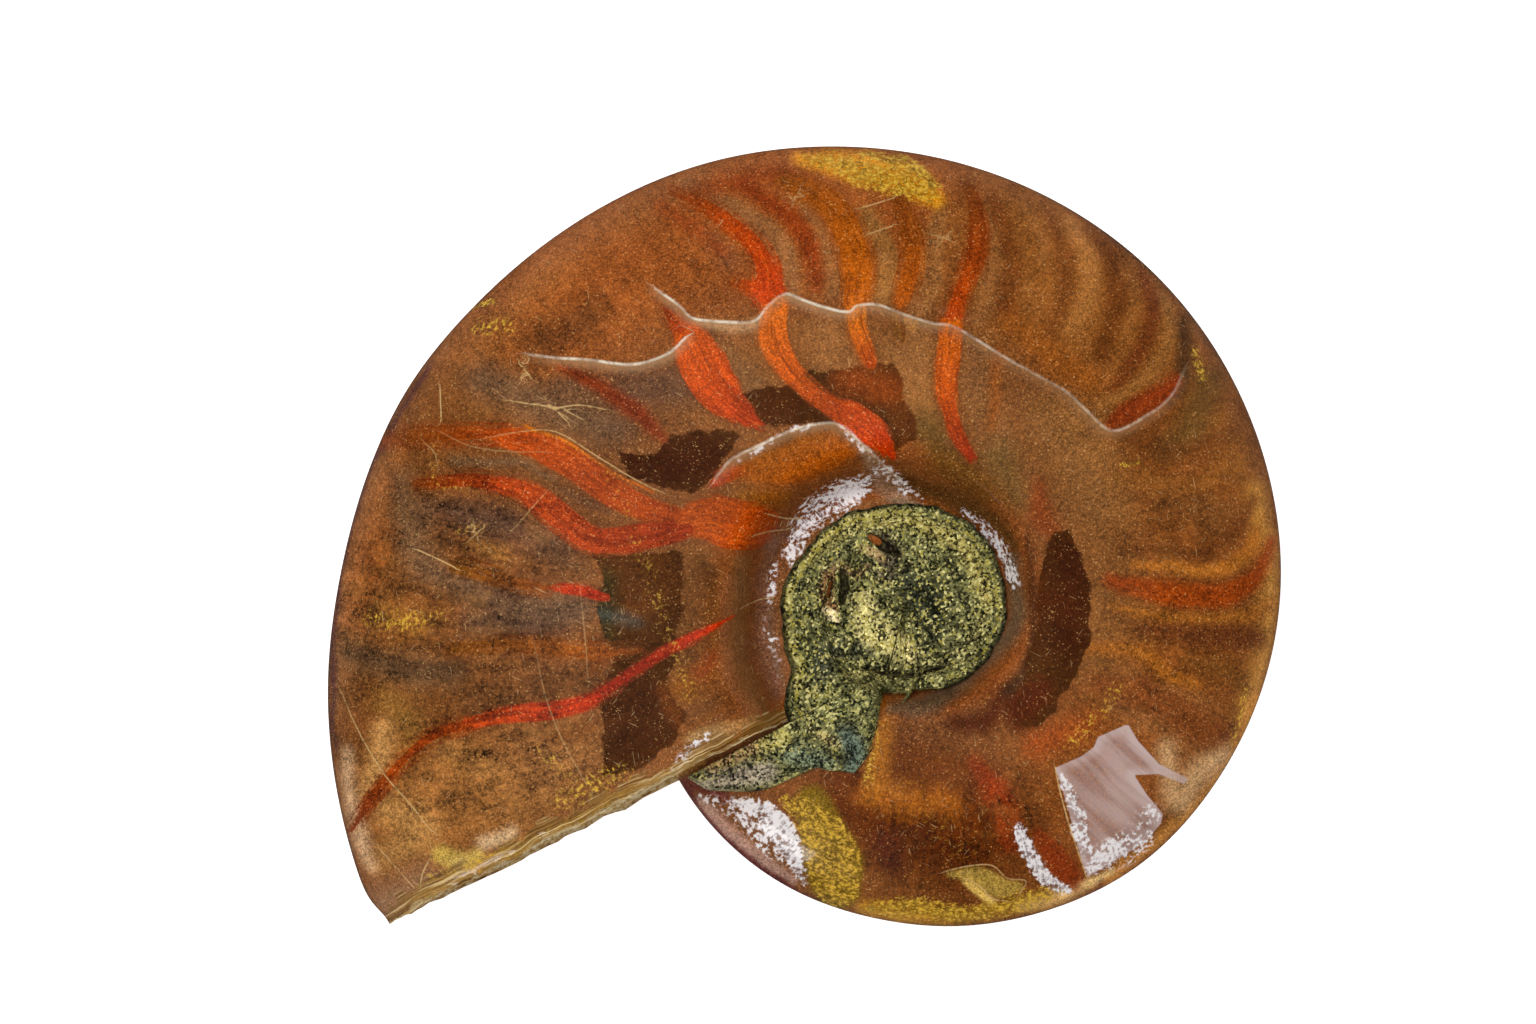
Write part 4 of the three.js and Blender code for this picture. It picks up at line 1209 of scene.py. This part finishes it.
def shell_material():
    n = Nodes("polished_shell")
    place = n.add("ShaderNodeTexCoord").outputs["Object"]
    grain = n.field("grain", "Vector")
    tiny = n.noise(place, TINY, 1.5)
    fine = n.noise(place, FINE, 2.0)
    middling = n.noise(place, MIDDLING, 3.0)
    broad = n.noise(place, BROAD, 2.0)
    streaks = n.noise(grain, 1.0, 3.5, 0.65)
    hair = n.noise(n.scaled(grain, (2.6, 1.2, 1)), 1.0, 3.0, 0.7)

    # Cloudy, streaky and grainy variation inside the shell.
    mottled = n.field("mottle")
    coarse = n.total(
        n.sway(streaks, 0.2, 0.2),
        n.sway(middling, 0.14, 0.14),
        n.sway(fine, 0.12, 0.12),
    )
    shade = n.total(
        1.0,
        n.product(mottled, coarse),
        n.sway(streaks, 0.2, 0.08),
        n.sway(broad, 0.15, 0.09),
        n.sway(middling, 0.16, 0.08),
        n.sway(fine, 0.14, 0.12),
        n.ramp(tiny, 0.38, 0.64, -0.24, 0.3),
    )
    now = n.mix(1.0, n.field("paint", "Color"), n.grey(shade), "MULTIPLY")
    patches = n.noise(n.scaled(place, (170, 260, 200)), 1.0, 3.5, 0.7)
    now = n.mix(n.product(mottled, n.ramp(patches, 0.5, 0.34, 0.0, 0.22)), now, "4a3426")
    now = n.mix(n.product(mottled, n.ramp(patches, 0.54, 0.7, 0.0, 0.28)), now, "aa7c46")

    # Flames of orange and red, made of fine strands.
    strand = n.noise(n.field("flow", "Vector"), 1.0, 3.0, 0.6)
    flame = n.field("blaze")
    ragged = n.total(flame, n.sway(strand, 0.3, 1.3), n.sway(fine, 0.2, 0.3))
    inside = n.ramp(ragged, 0.8, -1.0)
    now = n.mix(n.product(n.ramp(flame, 3.0, 0.0), 0.2), now, "6e3410")
    glow = n.grey(n.product(n.ramp(strand, 0.28, 0.72, 0.84, 1.15), shade))
    lit = n.mix(1.0, n.field("blaze_paint", "Color"), glow, "MULTIPLY")
    lit = n.mix(n.ramp(strand, 0.42, 0.3, 0.0, 0.4), lit, "7c2a06")
    lit = n.mix(n.ramp(strand, 0.6, 0.75, 0.0, 0.45), lit, "e27a10")
    lit = n.mix(1.0, lit, (0.84, 0.94, 0.5, 1), "MULTIPLY")
    now = n.mix(n.product(inside, 0.98), now, lit)

    # Painted dark reflections, which leave the flames showing.
    dark_reflection_edge = n.total(n.field("dark_reflection_edge"), n.sway(middling, 0.2, 3.2))
    dark = n.product(n.ramp(dark_reflection_edge, 1.6, -1.6), n.total(1.0, n.product(inside, -0.8)))
    reflected_dark = n.mix(1.0, n.field("dark_reflection_paint", "Color"), n.grey(shade), "MULTIPLY")
    now = n.mix(n.product(dark, 0.97), now, reflected_dark)

    # The polish makes the colours deeper, and the factors set how bright they are.
    now = n.add("ShaderNodeGamma", {"Color": now, "Gamma": 1.2}).outputs[0]
    now = n.mix(1.0, now, (1.31, 1.3, 1.18, 1), "MULTIPLY")

    share = n.add("ShaderNodeSeparateXYZ", {0: grain}).outputs[1]
    wall = n.ramp(share, 3.5, 2.9)
    now = n.mix(wall, now, n.mix(1.0, now, (1.08, 0.9, 0.85, 1), "MULTIPLY"))

    # Painted reflections: the pale sheen, and the pale shapes of glare with clear edges, streaked
    # at a slant.
    haze = n.field("haze")
    torn_sheen = n.total(
        haze,
        n.sway(hair, 0.18, 0.14),
        n.ramp(middling, 0.35, 0.65, -0.45, 0.3),
        n.sway(fine, 0.15, 0.5),
    )
    sheen_shown = n.product(n.ramp(torn_sheen, 0.2, 1.0), n.ramp(haze, 0.02, 0.3))
    blotches = n.total(n.product(hair, 0.3), n.product(middling, 0.3), n.product(fine, 0.4))
    white = n.ramp(blotches, 0.43, 0.55)
    glare = n.field("glare")
    facet = n.ramp(glare, 0.7, -0.7)
    slanted = n.noise(n.turned(place, 0.75, (90, 900, 90)), 1.0, 2.0, 0.65)
    glare_amount = n.total(n.ramp(slanted, 0.35, 0.65, 0.36, 0.7), n.sway(broad, 0.1, 0.1))
    glare_amount = n.total(glare_amount, n.ramp(glare, -12.0, -1.0, 0.0, 0.3))
    now = n.mix(n.product(facet, glare_amount), now, "cbb2ac")
    now = n.mix(n.product(sheen_shown, 0.92), now, n.mix(white, "968a8c", "f6f0f0"))

    # Golden flakes and streaks that run round the whorl.
    gold = n.field("gold")
    round_streaks = n.noise(n.scaled(grain, (1.8, 20, 1)), 1.0, 3.0, 0.7)
    flaky = n.total(n.sway(round_streaks, 0.18, 0.35), n.sway(fine, 0.15, 0.25))
    golden = n.product(n.ramp(n.total(gold, flaky), 0.35, 0.95), n.ramp(gold, 0.02, 0.3))
    golden = n.product(golden, n.ramp(tiny, 0.35, 0.6, 0.7, 1.0))
    flecks = n.total(n.product(round_streaks, 0.5), n.product(fine, 0.5))
    now = n.mix(golden, now, n.mix(n.ramp(flecks, 0.42, 0.6), "74520e", "e8b83c"))
    vein = n.ramp(n.math("ABSOLUTE", n.total(middling, -0.5)), 0.022, 0.004)
    now = n.mix(n.product(vein, golden, 0.7), now, "3c2806")

    # Specks of dust, and fine short scratches in three directions.
    speck = n.ramp(n.total(tiny, n.product(middling, 0.16)), 0.755, 0.8)
    now = n.mix(n.product(speck, 0.75), now, "d2a868")
    for angle, longness in ((0.45, 520), (-0.9, 640), (1.4, 560)):
        lines = n.noise(n.turned(place, angle, (longness, 6500, longness)), 1.0, 1.0)
        sparse = n.total(lines, n.product(broad, 0.2), n.product(mottled, 0.03))
        fine_line = n.ramp(sparse, 0.86, 0.9, 0.0, 0.42)
        now = n.mix(fine_line, now, "dcb27c")

    # Steps in the polish, lighter inwards, with a painted glint along their edges, and scratches.
    ledge = n.field("ledge")
    ledge_shows = n.field("ledge_shows")
    inner = n.product(n.ramp(ledge, -0.6, 0.8), n.ramp(ledge, 14.0, 1.0), ledge_shows)
    now = n.mix(n.product(inner, 0.46), now, "c0996e")
    # Painted glint: a pale line along each step's edge.
    bright = n.product(n.ramp(n.math("ABSOLUTE", ledge), 2.3, 0.3), ledge_shows)
    patchy = n.product(n.ramp(middling, 0.35, 0.6, 0.35, 1.0), n.ramp(fine, 0.3, 0.5, 0.5, 1.0))
    bright = n.product(bright, patchy)
    now = n.mix(bright, now, "f4e4cc")
    scratch = n.field("scratch")
    line = n.product(n.ramp(n.math("ABSOLUTE", scratch), 1.2, 0.2), n.field("scratch_shows"))
    line = n.product(line, n.ramp(fine, 0.3, 0.5, 0.25, 0.85))
    now = n.mix(line, now, "dcb476")

    # The broken lip: a brown, streaky bevel with a thin pale edge.
    rim = n.field("rim")
    bevel = n.ramp(n.total(rim, n.sway(middling, 0.2, 0.9)), 1.9, 0.9)
    spot = n.add("ShaderNodeSeparateXYZ", {0: place}).outputs
    across = n.total(n.product(rim, 4.0), n.product(spot[2], 260.0), n.product(broad, 6.0))
    layers = n.add("ShaderNodeCombineXYZ", {0: n.product(spot[0], 110.0), 1: across}).outputs[0]
    layered = n.noise(layers, 1.0, 3.0, 0.7)
    light_layers = n.mix(n.ramp(layered, 0.52, 0.66), "9c7434", "ecd29c")
    bronze = n.mix(n.ramp(layered, 0.4, 0.52), "5a3a14", light_layers)
    now = n.mix(n.product(bevel, 0.72), now, bronze)
    worn = n.ramp(n.total(rim, n.sway(fine, 0.2, 0.2)), 0.3, 0.15)
    pale = n.mix(n.ramp(fine, 0.35, 0.65), "b08c50", "eedfb8")
    cream = n.mix(n.ramp(middling, 0.36, 0.5, 0.0, 0.6), bronze, pale)
    broken = n.mix(n.ramp(spot[2], 9 * MM, 6 * MM), bronze, pale)
    now = n.mix(worn, now, n.mix(n.ramp(rim, -0.2, -0.8), cream, broken))
    n.join(now, n.shader.inputs["Base Color"])

    # Gloss.
    uneven = n.ramp(broad, 0.3, 0.7, -0.05, 0.08)
    rough = n.total(0.3, n.product(sheen_shown, 0.12), uneven, n.product(worn, 0.4))
    n.join(rough, n.shader.inputs["Roughness"])
    n.shader.inputs["IOR"].default_value = 1.5
    n.join(n.ramp(wall, 0.0, 1.0, 0.3, 0.05), n.shader.inputs["Specular IOR Level"])
    coat = n.product(n.ramp(worn, 0.0, 1.0, 0.6, 0.0), n.ramp(wall, 0.0, 1.0, 1.0, 0.1))
    n.join(coat, n.shader.inputs["Coat Weight"])
    n.shader.inputs["Coat Roughness"].default_value = 0.06

    # Fine relief.
    step = n.product(n.ramp(ledge, -3.0, 3.0), ledge_shows)
    pitted = n.total(n.product(middling, 0.1), n.product(worn, middling, 1.5))
    relief = n.total(step, n.product(line, -0.4), pitted)
    bump = n.add("ShaderNodeBump", {"Height": relief, "Distance": 0.1 * MM, "Strength": 1.0})
    n.join(bump.outputs[0], n.shader.inputs["Normal"])
    return n.material


def matrix_material():
    n = Nodes("sandy_matrix")
    place = n.add("ShaderNodeTexCoord").outputs["Object"]
    grains = n.add("ShaderNodeTexVoronoi", {"Vector": place, "Scale": SAND})
    chance = n.add("ShaderNodeSeparateColor", {0: grains.outputs["Color"]})
    patchy = n.noise(place, SAND_PATCHES, 3.0, 0.7)
    tiny = n.noise(place, SAND_DUST, 1.5)
    # Each grain has three random numbers: for its lightness, for crystals, for dark gaps.
    lightness, crystals, darkness = chance.outputs[0], chance.outputs[1], chance.outputs[2]
    value = n.total(n.product(lightness, 0.45), n.product(patchy, 0.7), n.product(tiny, 0.4))
    light = n.ramp(value, 0.5, 1.08, 0.2, 1.95)
    now = n.mix(1.0, n.field("paint", "Color"), n.grey(light), "MULTIPLY")
    bright = n.field("bright")
    crystal = n.total(n.product(crystals, 0.5), n.product(patchy, 0.5), n.product(bright, 0.22))
    yellow = n.mix(lightness, "a89a38", "f0e69c")
    now = n.mix(n.ramp(crystal, 0.6, 0.7, 0.0, 0.9), now, yellow)
    dark = n.total(darkness, n.product(patchy, 1.6))
    now = n.mix(n.ramp(dark, 1.08, 0.92, 0.0, 0.92), now, "0e0f08")
    # Painted shade: the pits are painted nearly black.
    hole = n.ramp(n.total(n.field("hole"), n.product(patchy, 0.6)), 0.55, 0.95)
    now = n.mix(n.product(hole, 0.9), now, "160f0a")
    # Painted shade in the crease where the edge tucks under the shell, and thin rings inside the
    # rim.
    ring = n.total(n.field("ring"), n.product(patchy, 0.07))
    now = n.mix(n.ramp(ring, 0.985, 1.01, 0.0, 0.85), now, "120f09")
    for middle, width, code in ((0.91, 0.014, "0e0d08"), (0.95, 0.018, "b0a040")):
        gap = n.math("ABSOLUTE", n.total(ring, -middle))
        broken = n.ramp(crystals, 0.3, 0.6, 0.0, 0.7)
        now = n.mix(n.product(n.ramp(gap, width, 0.3 * width), broken), now, code)
    n.join(now, n.shader.inputs["Base Color"])
    n.shader.inputs["Roughness"].default_value = 0.75
    n.shader.inputs["Specular IOR Level"].default_value = 0.3
    height = n.total(n.product(grains.outputs["Distance"], -0.6), patchy)
    bump = n.add("ShaderNodeBump", {"Height": height, "Distance": 0.2 * MM, "Strength": 1.0})
    n.join(bump.outputs[0], n.shader.inputs["Normal"])
    return n.material


# The pieces.
shell_look = shell_material()
matrix_look = matrix_material()

coil, shell_faces, raw_fields = build_shell()
fields = shell_fields(coil, raw_fields)
shell = mesh_object("ammonite_shell", placed(coil), shell_faces, fields, shell_look)
joined_and_smooth(shell)
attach(shell, "root")
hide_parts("shell")

for side, rows, rings, word in (
    (1, MATRIX_ROWS, MATRIX_RINGS, "top"),
    (-1, UNDER_MATRIX_ROWS, UNDER_MATRIX_RINGS, "bottom"),
):
    filling = build_matrix(side, rows, rings, matrix_look, "sandy_matrix_" + word)
    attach(filling, "root")
    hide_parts("umbilicus_matrix_" + word)


# The lamps of the stage: name, place, aim, size, power, and if the polish reflects it.
LAMPS = (
    ("overhead", (-0.1, 0.15, 0.7), (0, 0, 0), (0.7, 0.7), 5.4, False),
    ("low_right", (0.35, -0.3, 0.42), (0.02, -0.02, 0.01), (0.16, 0.14), 0.4, False),
    ("low_front", (-0.24, -0.38, 0.42), (0, -0.02, 0.01), (0.14, 0.1), 0.3, True),
)
FLOOR_SIZE = 3
FLOOR_GLOW = 0.75
WORLD_GLOW = 0.04


def make_floor():
    bpy.ops.mesh.primitive_plane_add(size=FLOOR_SIZE, location=(0, 0, 0))
    floor = bpy.context.object
    floor.name = "floor"
    n = Nodes("floor_white")
    n.shader.inputs["Base Color"].default_value = (0.9, 0.9, 0.9, 1)
    n.shader.inputs["Roughness"].default_value = 0.9
    n.shader.inputs["Specular IOR Level"].default_value = 0
    n.shader.inputs["Emission Color"].default_value = (1, 1, 1, 1)
    n.shader.inputs["Emission Strength"].default_value = FLOOR_GLOW
    floor.data.materials.append(n.material)
    floor.visible_glossy = False


def make_area_light(name, place, aim, size, power, glossy):
    data = bpy.data.lights.new(name, "AREA")
    data.shape = "RECTANGLE"
    data.size, data.size_y = size
    data.energy = power
    light = bpy.data.objects.new(name, data)
    light.location = place
    direction = Vector(aim) - Vector(place)
    light.rotation_euler = direction.to_track_quat("-Z", "Y").to_euler()
    light.visible_glossy = glossy
    bpy.context.scene.collection.objects.link(light)


def make_world():
    world = bpy.data.worlds.new("studio")
    world.use_nodes = True
    background = world.node_tree.nodes["Background"]
    background.inputs["Color"].default_value = (1, 1, 1, 1)
    background.inputs["Strength"].default_value = WORLD_GLOW
    bpy.context.scene.world = world


def make_camera():
    data = bpy.data.cameras.new("camera")
    data.lens = LENS
    data.sensor_width = SENSOR
    data.clip_end = 10
    camera = bpy.data.objects.new("camera", data)
    camera.location = CAMERA_PLACE
    bpy.context.scene.collection.objects.link(camera)
    bpy.context.scene.camera = camera


make_floor()
for lamp in LAMPS:
    make_area_light(*lamp)
make_world()
make_camera()
bpy.context.scene.view_settings.view_transform = "Standard"
